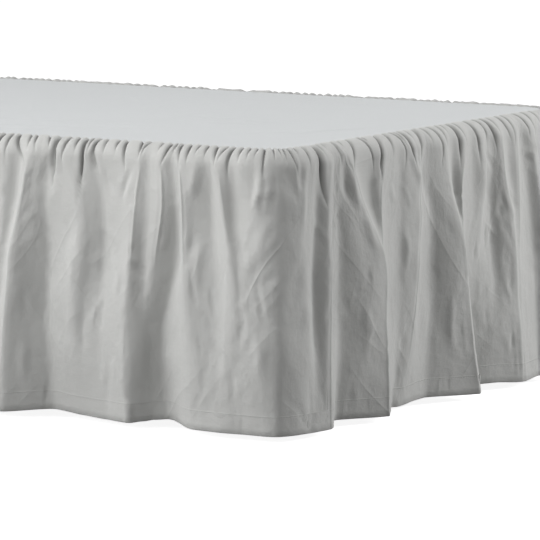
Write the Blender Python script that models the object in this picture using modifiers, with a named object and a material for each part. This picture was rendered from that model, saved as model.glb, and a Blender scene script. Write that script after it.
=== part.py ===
"""A gathered bed skirt on a plain bed base.

A flat deck panel lies on the base. One gathered ruffle is sewn round its two long sides and its foot end,
rolls over the base's rounded edge and hangs in uneven folds to just above the floor. The head end is open.

Metres, +Z up, +X towards the foot end. The floor is at Z = 0, and the origin is under the middle of the
whole object's box.
"""

import math
from collections import namedtuple

import bmesh
import bpy
import numpy as np

MM = 0.001
GAP = 0.0003  # between pieces that touch

# Bed base
BED_LENGTH = 2.000
BED_WIDTH = 0.900
BED_TOP = 0.430
BASE_BOTTOM = 0.150
CORNER_RADIUS = 0.080
TOP_EDGE_RADIUS = 0.022
BOTTOM_EDGE_RADIUS = 0.006
CORNER_SEGMENTS = 8
TOP_EDGE_SEGMENTS = 4
SMALL_BEVEL_SEGMENTS = 2
SHARP_ANGLE = math.radians(35)

# Legs
LEG_RADIUS = 0.030
LEG_INSET = 0.085
LEG_FOOT_BEVEL = 0.003
LEG_SIDES = 32

# Deck panel
DECK_THICKNESS = 0.0015
SEAM_INSET = 0.030  # of the seam from the base's upright faces
SEAM_GAP = 0.0006  # between the deck's edge and the ruffle's, which leans a little

# Ruffle
CLOTH_THICKNESS = 0.002
HEM_HEIGHT = 0.010
ROLL_RADIUS = 0.026
ROLL_RISE = 0.0035  # of the cloth over the base's top where it starts to roll over the edge
FACE_CLEARANCE = 0.0045  # from the base's upright face to the middle of the cloth
RUFFLE_END_INSET = 0.070  # of each end of the ruffle from the base's head end
LINE_GAP = 0.004  # least distance along the edge between neighbouring fold lines
COLUMN_LENGTH = 0.0235  # of cloth at the hem
MIN_COLUMNS, MAX_COLUMNS = 2, 5  # between two fold lines
CREST_BEND, TROUGH_BEND = 11 * MM, 7 * MM  # length along the edge, on either side of a line, of its bend
BEND_MOST = 0.48  # of the shorter flank beside it
RISE_BELLY = 0.75  # how much steeper than even a rising flank starts on the foot end, near the seam
BELLY_END = (0.45, 1.0)  # shares of the drop between which this goes
FOLD_START = 1.5  # power of the turn over the edge with which the folds start to stand out
ROLL_STEPS = 3
HANG_ROWS = (0.15, 0.38, 0.68, 1.0)  # shares of the drop where the cloth has a row of points

# Folds of the part of the skirt round the front foot corner. Each row is one crest or trough of the cloth,
# from the front side round the corner to the foot end. "place" is the distance along the base's edge from
# the middle of the corner, and "out" the distance out from where the cloth hangs plain, each at the five
# levels: seam, shoulder, upper, lower and hem. "lift" is how much higher the hem hangs there. Millimetres.
LEVELS = np.array([0.0, 0.15, 0.35, 0.65, 1.0])  # shares of the drop
FoldLine = namedtuple("FoldLine", "place out lift")
CORNER_FOLDS = (
    FoldLine((-585, -588, -588, -594, -598), (8, 20, 32, 42, 51), 0),
    FoldLine((-530, -534, -538, -540, -545), (1, 1, 1, 0, -2), 3),
    FoldLine((-480, -482, -486, -506, -518), (8, 15, 25, 33, 38), 0),
    FoldLine((-458, -464, -472, -488, -498), (1, 3, 18, 27, 31), 2),
    FoldLine((-438, -445, -455, -466, -474), (9, 23, 35, 42, 46), 0),
    FoldLine((-402, -412, -404, -408, -402), (0, 3, 3, 3, -3), 4),
    FoldLine((-381, -343, -334, -349, -339), (8, 20, 31, 28, 10), 1),
    FoldLine((-321, -305, -296, -298, -292), (0, 3, 9, 25, 22), 0),
    FoldLine((-232, -234, -236, -240, -238), (8, 21, 32, 40, 37), 0),
    FoldLine((-222, -217, -222, -221, -221), (3, 14, 16, 27, 18), 2),
    FoldLine((-196, -186, -196, -212, -208), (9, 22, 25, 15, 8), 4),
    FoldLine((-176, -166, -166, -195, -189), (1, 5, 3, 1, -6), 5),
    FoldLine((-163, -150, -142, -134, -126), (8, 23, 32, 37, 38), 0),
    FoldLine((-113, -105, -90, -78, -70), (1, 1, 20, 31, 42), 0),
    FoldLine((-94, -79, -57, -49, -46), (8, 19, 31, 40, 43), 0),
    FoldLine((-74, -65, -50, -44, -41), (1, 4, 26, 42, 43), 0),
    FoldLine((-57, -45, -37, -33, -30), (5, 13, 29, 46, 50), 0),
    FoldLine((-38, -29, -24, -21, -19), (8, 21, 37, 53, 60), 0),
    FoldLine((-9, -7, -8, -9, -10), (9, 25, 41, 58, 64), 0),
    FoldLine((24, 24, 20, 17, 20), (8, 15, 28, 40, 46), 0),
    FoldLine((67, 62, 50, 42, 39), (0, 0, 6, 15, 36), 0),
    FoldLine((104, 88, 73, 62, 58), (8, 16, 27, 32, 36), 0),
    FoldLine((126, 124, 134, 134, 122), (0, 0, 0, -1, -4), 2),
    FoldLine((152, 178, 216, 219, 214), (8, 19, 29, 33, 41), 0),
    FoldLine((222, 221, 225, 223, 218), (0, 2, 22, 31, 40), 0),
    FoldLine((258, 238, 230, 227, 222), (8, 14, 19, 29, 39), 0),
    FoldLine((308, 304, 300, 294, 286), (1, 3, 8, 9, 0), 1),
    FoldLine((367, 357, 345, 334, 308), (9, 17, 23, 19, 2), 0),
    FoldLine((394, 400, 408, 408, 388), (0, 1, 0, -1, -7), 3),
    FoldLine((440, 449, 460, 472, 492), (9, 15, 28, 34, 40), 0),
    FoldLine((476, 470, 466, 477, 496), (0, 3, 24, 33, 40), 0),
    FoldLine((502, 480, 471, 482, 500), (8, 14, 22, 32, 39), 0),
    FoldLine((534, 530, 518, 508, 514), (2, 6, 10, 0, -8), 3),
    FoldLine((560, 556, 546, 538, 540), (8, 16, 12, -1, -8), 4),
    FoldLine((598, 600, 594, 588, 584), (0, 0, 0, 12, 11), 4),
    FoldLine((616, 618, 626, 632, 645), (9, 14, 25, 29, 32), 0),
    FoldLine((645, 643, 640, 642, 656), (2, 8, 22, 27, 33), 0),
    FoldLine((668, 658, 649, 648, 660), (8, 15, 23, 27, 32), 0),
    FoldLine((694, 700, 706, 711, 716), (0, 5, 12, 20, 22), 1),
    FoldLine((720, 722, 726, 732, 740), (8, 19, 30, 39, 46), 0),
    FoldLine((765, 768, 770, 772, 775), (1, 1, 1, 0, -2), 3),
)

# The other folds follow a rule. A fold is the crest, or the two crests that join on the way down, of one of
# these kinds, and then a trough. "share" is how often the kind comes, "width" the least and most that it
# takes along the edge, and "lines" are its lines, with places from the fold's middle.
FoldKind = namedtuple("FoldKind", "share width lines")
FOLD_KINDS = (
    FoldKind(0.45, (84, 176), (FoldLine((0, 0, 0, 0, 0), (8, 20, 31, 41, 49), 0),)),
    FoldKind(0.30, (44, 70), (FoldLine((0, 0, 0, 0, 0), (8, 17, 21, 13, 1), 2),)),
    FoldKind(0.25, (110, 150), (
        FoldLine((-34, -24, -9, -7, -6), (8, 19, 30, 41, 48), 0),
        FoldLine((0, 0, 0, 0, 0), (1, 3, 26, 40, 47), 0),
        FoldLine((32, 22, 8, 6, 6), (8, 18, 28, 39, 47), 0),
    )),
)
TROUGH_OUT = np.array([1, 1, 1, -1, -5])
TROUGH_RISE = np.array([0, 3, 8, 13, 18])  # by which the shallowest trough stands further out
TROUGH_LIFT = 3
DRIFT = 26  # most that a fold line wanders along the edge on its way down
OUT_SPREAD = 0.30  # most that a fold falls short of its kind's "out", as a share
FOLD_SEED = 7
NEXT_FOLD = 60  # from the last trough of the rule to the first crest of the table

BED_GREY = (0.56, 0.56, 0.54, 1.0)
DECK_GREY = (0.62, 0.65, 0.66, 1.0)
BASE_CLOTH = (0.70, 0.68, 0.64, 1.0)
LEG_WOOD = (0.50, 0.33, 0.18, 1.0)

ARC_HALF = CORNER_RADIUS * math.pi / 4
FOOT_RUN = BED_WIDTH - 2 * CORNER_RADIUS
SIDE_RUN = BED_LENGTH - CORNER_RADIUS - RUFFLE_END_INSET
FAR_CORNER = 2 * ARC_HALF + FOOT_RUN  # place of the middle of the far foot corner
RUFFLE_START = -(ARC_HALF + SIDE_RUN)
RUFFLE_END = FAR_CORNER + ARC_HALF + SIDE_RUN


def clear_scene():
    for thing in list(bpy.data.objects):
        bpy.data.objects.remove(thing, do_unlink=True)


def material(name, colour, roughness, metallic=0.0):
    made = bpy.data.materials.new(name)
    made.use_nodes = True
    shader = made.node_tree.nodes["Principled BSDF"]
    shader.inputs["Base Color"].default_value = colour
    shader.inputs["Roughness"].default_value = roughness
    shader.inputs["Metallic"].default_value = metallic
    made.diffuse_color = colour
    return made


def place_object(name, mesh, finish, collection, parent):
    mesh.materials.append(finish)
    made = bpy.data.objects.new(name, mesh)
    made.parent = parent
    collection.objects.link(made)
    return made


def edge_point(place, out):
    """The plan point at a place along the base's edge, moved out from it by "out", and the outward normal.

    The edge runs along the front side, round a quarter circle, along the foot end, round the far quarter
    circle and back along the other side. The place is 0 in the middle of the first quarter circle.
    """
    turned = np.clip(place, -ARC_HALF, ARC_HALF) + np.clip(place - FAR_CORNER, -ARC_HALF, ARC_HALF)
    heading = turned / CORNER_RADIUS
    normal_x = np.cos(heading)
    normal_y = np.sin(heading)
    front_run = np.minimum(place + ARC_HALF, 0)
    foot_run = np.clip(place - ARC_HALF, 0, FOOT_RUN)
    back_run = np.maximum(place - FAR_CORNER - ARC_HALF, 0)
    x = BED_LENGTH / 2 - CORNER_RADIUS + (CORNER_RADIUS + out) * normal_x + front_run - back_run
    y = -BED_WIDTH / 2 + CORNER_RADIUS + (CORNER_RADIUS + out) * normal_y + foot_run
    return x, y


def regular_folds(first, last, rng):
    """Fold lines by the rule between two places, as rows like CORNER_FOLDS, from a trough to a trough."""
    shares = np.cumsum([kind.share for kind in FOLD_KINDS])
    rows = [FoldLine(np.full(len(LEVELS), first), TROUGH_OUT, TROUGH_LIFT)]
    place = first
    while True:
        kind = FOLD_KINDS[np.searchsorted(shares, rng.uniform())]
        width = rng.uniform(*kind.width)
        depth = rng.uniform(1 - OUT_SPREAD, 1)
        drift = np.linspace(0, rng.uniform(-DRIFT, DRIFT), len(LEVELS))
        trough_drift = np.linspace(0, rng.uniform(-DRIFT, DRIFT), len(LEVELS)) / 2
        trough_out = TROUGH_OUT + TROUGH_RISE * rng.uniform() ** 2
        if place + width > last - FOLD_KINDS[0].width[0]:
            break
        middle = place + width / 2 + drift
        for line in kind.lines:
            rows.append(FoldLine(middle + line.place, depth * np.array(line.out), line.lift))
        place += width
        rows.append(FoldLine(place + trough_drift, trough_out, TROUGH_LIFT))
    end = np.full(len(LEVELS), last)
    crest = FOLD_KINDS[0].lines[0]
    rows.append(FoldLine(np.full(len(LEVELS), (place + last) / 2), crest.out, crest.lift))
    rows.append(FoldLine(end, TROUGH_OUT, TROUGH_LIFT))
    return rows


def all_folds():
    """Place and out at every level and lift of every fold line, in metres, from one end of the ruffle on."""
    rng = np.random.default_rng(FOLD_SEED)
    before = regular_folds(RUFFLE_START / MM, CORNER_FOLDS[0].place[0] - NEXT_FOLD, rng)
    after = regular_folds(CORNER_FOLDS[-1].place[0], RUFFLE_END / MM, rng)
    rows = before + list(CORNER_FOLDS) + after[1:]
    places = np.array([row.place for row in rows]) * MM
    outs = np.array([row.out for row in rows]) * MM
    lifts = np.array([row.lift for row in rows]) * MM
    return places, outs, lifts


def down_the_drop(knots, shares):
    """Smooth curves through each line's five values: cubic pieces whose slopes at the levels are shared."""
    step = np.diff(LEVELS)
    slope = np.diff(knots, axis=1) / step
    inner = (slope[:, :-1] * step[1:] + slope[:, 1:] * step[:-1]) / (step[1:] + step[:-1])
    tangent = np.column_stack([slope[:, 0], inner, slope[:, -1]])
    low = np.clip(np.searchsorted(LEVELS, shares, side="right") - 1, 0, len(step) - 1)
    u = (shares - LEVELS[low]) / step[low]
    from_low = knots[:, low] * (1 + 2 * u) * (1 - u) ** 2 + tangent[:, low] * step[low] * u * (1 - u) ** 2
    from_high = knots[:, low + 1] * u**2 * (3 - 2 * u) + tangent[:, low + 1] * step[low] * u**2 * (u - 1)
    return from_low + from_high


def cloth_profile():
    """The plain run of the cloth from the seam to the hem: distance out, height, roll angle, drop share."""
    roll_angle = np.linspace(0, math.pi / 2, ROLL_STEPS + 1)
    roll_out = FACE_CLEARANCE - ROLL_RADIUS * (1 - np.sin(roll_angle))
    roll_height = BED_TOP + ROLL_RISE - ROLL_RADIUS * (1 - np.cos(roll_angle))
    drop = np.array(HANG_ROWS)
    hang_height = roll_height[-1] + (HEM_HEIGHT - roll_height[-1]) * drop
    out = np.concatenate([[-SEAM_INSET], roll_out, np.full(len(drop), FACE_CLEARANCE)])
    height = np.concatenate([[BED_TOP + GAP + CLOTH_THICKNESS / 2], roll_height, hang_height])
    angle = np.concatenate([[0], roll_angle, np.full(len(drop), math.pi / 2)])
    share = np.concatenate([np.zeros(ROLL_STEPS + 2), drop])
    return out, height, angle, share


def ruffle_columns(places, outs):
    """For each column of the cloth, the fold line before it and how far it is on the way to the next."""
    hem_length = np.hypot(np.diff(places[:, -1]), np.diff(outs[:, -1]))
    counts = np.clip(np.round(hem_length / COLUMN_LENGTH), MIN_COLUMNS, MAX_COLUMNS).astype(int)
    line = np.repeat(np.arange(len(counts)), counts)
    way = np.concatenate([np.arange(count) / count for count in counts])
    return np.append(line, len(counts) - 1), np.append(way, 1.0)


def smooth_step(value):
    value = np.clip(value, 0, 1)
    return value * value * (3 - 2 * value)


def fold_way(places, outs, share, line, way):
    """Place and out at each column, part of the way from a fold line to the next, row by row.

    Between two lines the cloth runs straight, and bends at the lines on a parabola, so that at a distance d
    from a line it stands change_of_slope * (bend - d)**2 / (4 * bend) off the straight run. On the foot end
    a run that rises is bellied by RISE_BELLY * way * (1 - way), and one that falls follows 1 - (1 - way)**3.
    """
    step = np.diff(places, axis=0)
    slope = np.diff(outs, axis=0) / step
    low, high = BELLY_END
    on_foot = (places[:-1] > ARC_HALF / 2) & (places[1:] < FAR_CORNER - ARC_HALF / 2)
    belly = on_foot * (1 - smooth_step((share - low) / (high - low)))
    rise = belly * (slope > 0)
    fall = belly - rise
    turn = np.zeros(places.shape)
    first_slope = slope * (1 + RISE_BELLY * rise + 2 * fall)
    last_slope = slope * (1 - RISE_BELLY * rise - fall)
    turn[1:-1] = first_slope[1:] - last_slope[:-1]
    bend = np.where(turn < 0, CREST_BEND, TROUGH_BEND)
    bend[1:-1] = np.minimum(bend[1:-1], BEND_MOST * np.minimum(step[1:], step[:-1]))
    ramp = way + rise[line] * RISE_BELLY * way * (1 - way) + fall[line] * (1 - (1 - way) ** 3 - way)
    out = outs[line] + slope[line] * step[line] * ramp
    for near, distance in ((line, way * step[line]), (line + 1, (1 - way) * step[line])):
        out = out + turn[near] * np.maximum(0, bend[near] - distance) ** 2 / (4 * bend[near])
    return places[line] + step[line] * way, out


def ruffle_grid():
    """Points of the middle of the cloth, columns by rows, and each column's place along the seam."""
    profile_out, height, angle, share = cloth_profile()
    places, outs, lifts = all_folds()
    line, way = ruffle_columns(places, outs)
    way = way[:, None]
    places = down_the_drop(places, share)
    outs = down_the_drop(outs, share)
    least = np.arange(len(places))[:, None] * LINE_GAP
    places = np.maximum.accumulate(places - least, axis=0) + least
    place, fold_out = fold_way(places, outs, share, line, way)
    wave = (1 - np.cos(math.pi * way)) / 2
    lift = lifts[line, None] + (lifts[line + 1] - lifts[line])[:, None] * wave
    x, y = edge_point(place, profile_out + fold_out * (2 * angle / math.pi) ** FOLD_START)
    return np.stack([x, y, height + lift * share**2], axis=-1), place[:, 0]


def build_ruffle(grid, finish, collection, parent):
    columns, rows = grid.shape[:2]
    first = (np.arange(columns - 1)[:, None] * rows + np.arange(rows - 1)).reshape(-1)
    faces = np.stack([first, first + 1, first + rows + 1, first + rows], axis=-1)
    mesh = bpy.data.meshes.new("ruffle")
    mesh.from_pydata(grid.reshape(-1, 3).tolist(), [], faces.tolist())
    mesh.shade_smooth()
    made = place_object("ruffle", mesh, finish, collection, parent)
    cloth = made.modifiers.new("cloth thickness", "SOLIDIFY")
    cloth.thickness = CLOTH_THICKNESS
    cloth.offset = 0.0
    return made


def deck_outline(seam_places):
    """The plan outline of the deck: the ruffle's own points round the foot corners, mirrored at the head."""
    at_corner = (np.abs(seam_places) < ARC_HALF) | (np.abs(seam_places - FAR_CORNER) < ARC_HALF)
    arc_ends = [-ARC_HALF, ARC_HALF, FAR_CORNER - ARC_HALF, FAR_CORNER + ARC_HALF]
    places = np.sort(np.concatenate([seam_places[at_corner], arc_ends]))
    foot_x, foot_y = edge_point(places, -SEAM_INSET - SEAM_GAP)
    return np.concatenate([foot_x, -foot_x[::-1]]), np.concatenate([foot_y, foot_y[::-1]])


def build_deck(seam_places, finish, collection, parent):
    x, y = deck_outline(seam_places)
    curve = bpy.data.curves.new("deck outline", "CURVE")
    curve.dimensions = "2D"
    curve.fill_mode = "BOTH"
    curve.extrude = DECK_THICKNESS / 2
    spline = curve.splines.new("POLY")
    spline.points.add(len(x) - 1)
    spline.points.foreach_set("co", np.stack([x, y, 0 * x, 1 + 0 * x], axis=-1).ravel())
    spline.use_cyclic_u = True
    made = bpy.data.objects.new("deck_panel", curve)
    curve.materials.append(finish)
    made.parent = parent
    made.location.z = BED_TOP + GAP + DECK_THICKNESS / 2
    collection.objects.link(made)
    return made


def level_edges(shape, height):
    return [edge for edge in shape.edges if all(abs(v.co.z - height) < 0.1 * MM for v in edge.verts)]


def build_base(finish, collection, parent):
    shape = bmesh.new()
    bmesh.ops.create_cube(shape, size=1.0)
    bottom = BASE_BOTTOM + GAP
    bmesh.ops.scale(shape, vec=(BED_LENGTH, BED_WIDTH, BED_TOP - bottom), verts=shape.verts)
    bmesh.ops.translate(shape, vec=(0, 0, (BED_TOP + bottom) / 2), verts=shape.verts)
    upright = [edge for edge in shape.edges if abs(edge.verts[0].co.z - edge.verts[1].co.z) > MM]
    bmesh.ops.bevel(shape, geom=upright, offset=CORNER_RADIUS, segments=CORNER_SEGMENTS,
                    profile=0.5, affect="EDGES")
    bmesh.ops.bevel(shape, geom=level_edges(shape, BED_TOP), offset=TOP_EDGE_RADIUS,
                    segments=TOP_EDGE_SEGMENTS, profile=0.5, affect="EDGES")
    bmesh.ops.bevel(shape, geom=level_edges(shape, bottom), offset=BOTTOM_EDGE_RADIUS,
                    segments=SMALL_BEVEL_SEGMENTS, profile=0.5, affect="EDGES")
    mesh = bpy.data.meshes.new("bed_base")
    shape.to_mesh(mesh)
    shape.free()
    mesh.shade_smooth()
    mesh.set_sharp_from_angle(angle=SHARP_ANGLE)
    return place_object("bed_base", mesh, finish, collection, parent)


def leg_mesh():
    shape = bmesh.new()
    bmesh.ops.create_cone(shape, cap_ends=True, segments=LEG_SIDES, radius1=LEG_RADIUS,
                          radius2=LEG_RADIUS, depth=BASE_BOTTOM)
    foot = level_edges(shape, -BASE_BOTTOM / 2)
    bmesh.ops.bevel(shape, geom=foot, offset=LEG_FOOT_BEVEL, segments=SMALL_BEVEL_SEGMENTS, profile=0.5,
                    affect="EDGES")
    mesh = bpy.data.meshes.new("leg")
    shape.to_mesh(mesh)
    shape.free()
    mesh.shade_smooth()
    mesh.set_sharp_from_angle(angle=SHARP_ANGLE)
    return mesh


def build_legs(finish, collection, parent):
    mesh = leg_mesh()
    mesh.materials.append(finish)
    for end_name, end in (("head", -1), ("foot", 1)):
        for side_name, side in (("front", -1), ("back", 1)):
            made = bpy.data.objects.new(f"leg_{end_name}_{side_name}", mesh)
            made.parent = parent
            made.location.x = end * (BED_LENGTH / 2 - LEG_INSET)
            made.location.y = side * (BED_WIDTH / 2 - LEG_INSET)
            made.location.z = BASE_BOTTOM / 2
            collection.objects.link(made)


def main():
    clear_scene()
    collection = bpy.data.collections.new("bed_skirt_on_base")
    bpy.context.scene.collection.children.link(collection)
    grid, seam_places = ruffle_grid()
    reach = grid[:, :, 0].max() + CLOTH_THICKNESS / 2
    middle = bpy.data.objects.new("bed_middle", None)
    middle.location.x = (BED_LENGTH / 2 - reach) / 2
    collection.objects.link(middle)
    build_base(material("base_cloth", BASE_CLOTH, 0.9), collection, middle)
    build_legs(material("leg_wood", LEG_WOOD, 0.5), collection, middle)
    build_deck(seam_places, material("deck_cotton", DECK_GREY, 0.9), collection, middle)
    build_ruffle(grid, material("ruffle_cotton", BED_GREY, 0.9), collection, middle)


main()
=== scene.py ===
import math
from collections import namedtuple

import bpy
import numpy as np
from mathutils import Matrix, Vector


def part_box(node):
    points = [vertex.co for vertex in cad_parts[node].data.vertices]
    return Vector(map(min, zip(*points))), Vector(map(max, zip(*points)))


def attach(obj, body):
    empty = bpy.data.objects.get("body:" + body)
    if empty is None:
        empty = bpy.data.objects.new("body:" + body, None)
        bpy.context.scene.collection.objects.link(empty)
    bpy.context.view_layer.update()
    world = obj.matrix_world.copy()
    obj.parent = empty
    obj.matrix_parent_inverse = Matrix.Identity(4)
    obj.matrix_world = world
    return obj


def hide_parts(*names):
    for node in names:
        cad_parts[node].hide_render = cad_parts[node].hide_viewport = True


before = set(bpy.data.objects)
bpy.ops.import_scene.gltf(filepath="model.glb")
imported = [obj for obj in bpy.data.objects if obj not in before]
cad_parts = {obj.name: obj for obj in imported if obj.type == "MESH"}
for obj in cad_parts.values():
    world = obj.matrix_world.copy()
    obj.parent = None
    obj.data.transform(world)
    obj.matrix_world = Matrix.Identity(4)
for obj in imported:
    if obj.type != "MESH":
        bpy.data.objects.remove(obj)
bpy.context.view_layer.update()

bl_info = {
    "name": "Gathered bed skirt",
    "version": (1, 0, 0),
    "blender": (4, 5, 0),
    "location": "3D View > Sidebar > Bed Skirt",
    "description": "Builds the gathered cloth, the deck panel and the finishes of a bed skirt on its base",
    "category": "Add Mesh",
}

MM = 0.001

# The base that the cloth falls over, from the frame
BASE_LOW, BASE_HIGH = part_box("bed_base")
BED_LENGTH = BASE_HIGH.x - BASE_LOW.x
BED_WIDTH = BASE_HIGH.y - BASE_LOW.y
BED_MIDDLE = (BASE_HIGH.x + BASE_LOW.x) / 2
BED_TOP = BASE_HIGH.z
CORNER_RADIUS = 0.080  # of the base, in plan
ARC_HALF = CORNER_RADIUS * math.pi / 4

# How the cloth runs from its seam over the edge and down
SEAM_INSET = 0.030  # of the seam from the base's edge
SEAM_HEIGHT = 0.0013  # of the cloth's face at the seam, over the base's top
ROLL_RADIUS = 0.026
ROLL_RISE = 0.0035  # of the cloth's face where the roll starts, over the base's top
FACE_CLEARANCE = 0.0045  # of the cloth's face, where it hangs plain, from the base's side
HEM_HEIGHT = 0.010  # over the floor
RUFFLE_END_INSET = 0.070  # of the ruffle's two ends from the head end
ROLL_START = SEAM_INSET + FACE_CLEARANCE - ROLL_RADIUS  # length of the flat run from the seam
ROLL_LENGTH = ROLL_RADIUS * math.pi / 2
HANG_LENGTH = BED_TOP + ROLL_RISE - ROLL_RADIUS - HEM_HEIGHT
CLOTH_RUN = ROLL_START + ROLL_LENGTH + HANG_LENGTH

FOOT_RUN = BED_WIDTH - 2 * CORNER_RADIUS
SIDE_RUN = BED_LENGTH - CORNER_RADIUS - RUFFLE_END_INSET
FAR_CORNER = 2 * ARC_HALF + FOOT_RUN
RUFFLE_START = -(ARC_HALF + SIDE_RUN)
RUFFLE_END = FAR_CORNER + ARC_HALF + SIDE_RUN

# Folds of the part of the skirt round the front foot corner. Each row is one crest or trough of the cloth,
# from the front side round the corner to the foot end. "place" is the distance along the base's edge from
# the middle of the corner, and "out" the distance out from where the cloth hangs plain, each at the five
# levels: seam, shoulder, upper, lower and hem. "lift" is how much higher the hem hangs there, and "rim" the
# height of the sharp ridge along a crest and the share of the drop where it has faded. Millimetres.
LEVELS = np.array([0.0, 0.15, 0.35, 0.65, 1.0])  # shares of the drop
FoldLine = namedtuple("FoldLine", "place out lift rim", defaults=[(0, 0)])
CORNER_FOLDS = [FoldLine(*row) for row in (
    ((-585, -588, -588, -594, -598), (8, 20, 32, 42, 51), 0, (1.8, 0.9)),
    ((-530, -534, -538, -540, -545), (1, 1, 1, 0, -2), 3),
    ((-480, -482, -486, -506, -518), (8, 15, 25, 33, 38), 0),
    ((-458, -464, -472, -488, -498), (1, 3, 18, 27, 31), 2),
    ((-438, -445, -455, -466, -474), (9, 23, 35, 42, 46), 0, (2.2, 1.0)),
    ((-402, -412, -404, -408, -402), (0, 3, 3, 3, -3), 4),
    ((-381, -343, -334, -349, -339), (8, 20, 31, 28, 10), 1),
    ((-321, -305, -296, -298, -292), (0, 3, 9, 25, 22), 0),
    ((-232, -234, -236, -240, -238), (8, 21, 32, 40, 37), 0, (1.6, 0.5)),
    ((-222, -217, -222, -221, -221), (3, 14, 16, 27, 18), 2),
    ((-196, -186, -196, -212, -208), (9, 22, 25, 15, 8), 4, (1.6, 0.5)),
    ((-176, -166, -166, -195, -189), (1, 5, 3, 1, -6), 5),
    ((-163, -150, -142, -134, -126), (8, 23, 32, 37, 38), 0, (2.4, 0.5)),
    ((-113, -105, -90, -78, -70), (1, 1, 20, 31, 42), 0),
    ((-94, -79, -57, -49, -46), (8, 19, 31, 40, 43), 0, (1.4, 0.3)),
    ((-74, -65, -50, -44, -41), (1, 4, 26, 42, 43), 0),
    ((-57, -45, -37, -33, -30), (5, 13, 29, 46, 50), 0),
    ((-38, -29, -24, -21, -19), (8, 21, 37, 53, 60), 0),
    ((-9, -7, -8, -9, -10), (9, 25, 41, 58, 64), 0),
    ((24, 24, 20, 17, 20), (8, 15, 28, 40, 46), 0),
    ((67, 62, 50, 42, 39), (0, 0, 6, 15, 36), 0),
    ((104, 88, 73, 62, 58), (8, 16, 27, 32, 36), 0, (1.4, 1.2)),
    ((126, 124, 134, 134, 122), (0, 0, 0, -1, -4), 2),
    ((152, 178, 216, 219, 214), (8, 19, 29, 33, 41), 0, (1.4, 1.2)),
    ((222, 221, 225, 223, 218), (0, 2, 22, 31, 40), 0),
    ((258, 238, 230, 227, 222), (8, 14, 19, 29, 39), 0, (1.0, 0.5)),
    ((308, 304, 300, 294, 286), (1, 3, 8, 9, 0), 1),
    ((367, 357, 345, 334, 308), (9, 17, 23, 19, 2), 0, (1.3, 0.9)),
    ((394, 400, 408, 408, 388), (0, 1, 0, -1, -7), 3),
    ((440, 449, 460, 472, 492), (9, 15, 28, 34, 40), 0, (1.4, 1.2)),
    ((476, 470, 466, 477, 496), (0, 3, 24, 33, 40), 0),
    ((502, 480, 471, 482, 500), (8, 14, 22, 32, 39), 0, (1.0, 0.5)),
    ((534, 530, 518, 508, 514), (2, 6, 10, 0, -8), 3),
    ((560, 556, 546, 538, 540), (8, 16, 12, -1, -8), 4, (1.0, 0.5)),
    ((598, 600, 594, 588, 584), (0, 0, 0, 12, 11), 4),
    ((616, 618, 626, 632, 645), (9, 14, 25, 29, 32), 0, (1.4, 1.2)),
    ((645, 643, 640, 642, 656), (2, 8, 22, 27, 33), 0),
    ((668, 658, 649, 648, 660), (8, 15, 23, 27, 32), 0, (1.1, 0.6)),
    ((694, 700, 706, 711, 716), (0, 5, 12, 20, 22), 1),
    ((720, 722, 726, 732, 740), (8, 19, 30, 39, 46), 0, (1.1, 0.9)),
    ((765, 768, 770, 772, 775), (1, 1, 1, 0, -2), 3),
)]

# The other folds follow a rule. A fold is the crest, or the two crests that join on the way down, of one of
# these kinds, and then a trough. "share" is how often the kind comes, "width" the least and most that it
# takes along the edge, and "lines" are its lines, with places from the fold's middle.
FoldKind = namedtuple("FoldKind", "share width lines")
FOLD_KINDS = (
    FoldKind(0.45, (84, 176), (FoldLine((0, 0, 0, 0, 0), (8, 20, 31, 41, 49), 0, (2.0, 1.0)),)),
    FoldKind(0.30, (44, 70), (FoldLine((0, 0, 0, 0, 0), (8, 17, 21, 13, 1), 2, (1.5, 0.5)),)),
    FoldKind(0.25, (110, 150), (
        FoldLine((-34, -24, -9, -7, -6), (8, 19, 30, 41, 48), 0),
        FoldLine((0, 0, 0, 0, 0), (1, 3, 26, 40, 47), 0),
        FoldLine((32, 22, 8, 6, 6), (8, 18, 28, 39, 47), 0),
    )),
)
TROUGH_OUT = np.array([1, 1, 1, -1, -5])
TROUGH_RISE = np.array([0, 3, 8, 13, 18])  # by which the shallowest trough stands further out
TROUGH_LIFT = 3
DRIFT = 26  # most that a fold line wanders along the edge on its way down
OUT_SPREAD = 0.30  # most that a fold falls short of its kind's "out", as a share
FOLD_SEED = 7
NEXT_FOLD = 60  # from the last trough of the rule to the first crest of the table
LINE_GAP = 4 * MM  # least between two fold lines
CREST_BEND, TROUGH_BEND = 11 * MM, 7 * MM  # length along the edge, on either side of a line, of its bend
BEND_MOST = 0.48  # of the shorter flank beside it
RISE_BELLY = 0.75  # how much steeper than even a rising flank starts on the foot end, near the seam
BELLY_END = (0.45, 1.0)  # shares of the drop between which that belly goes
FOLD_START = 1.5  # power of the rolled share of the edge by which the folds grow from nothing

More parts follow.
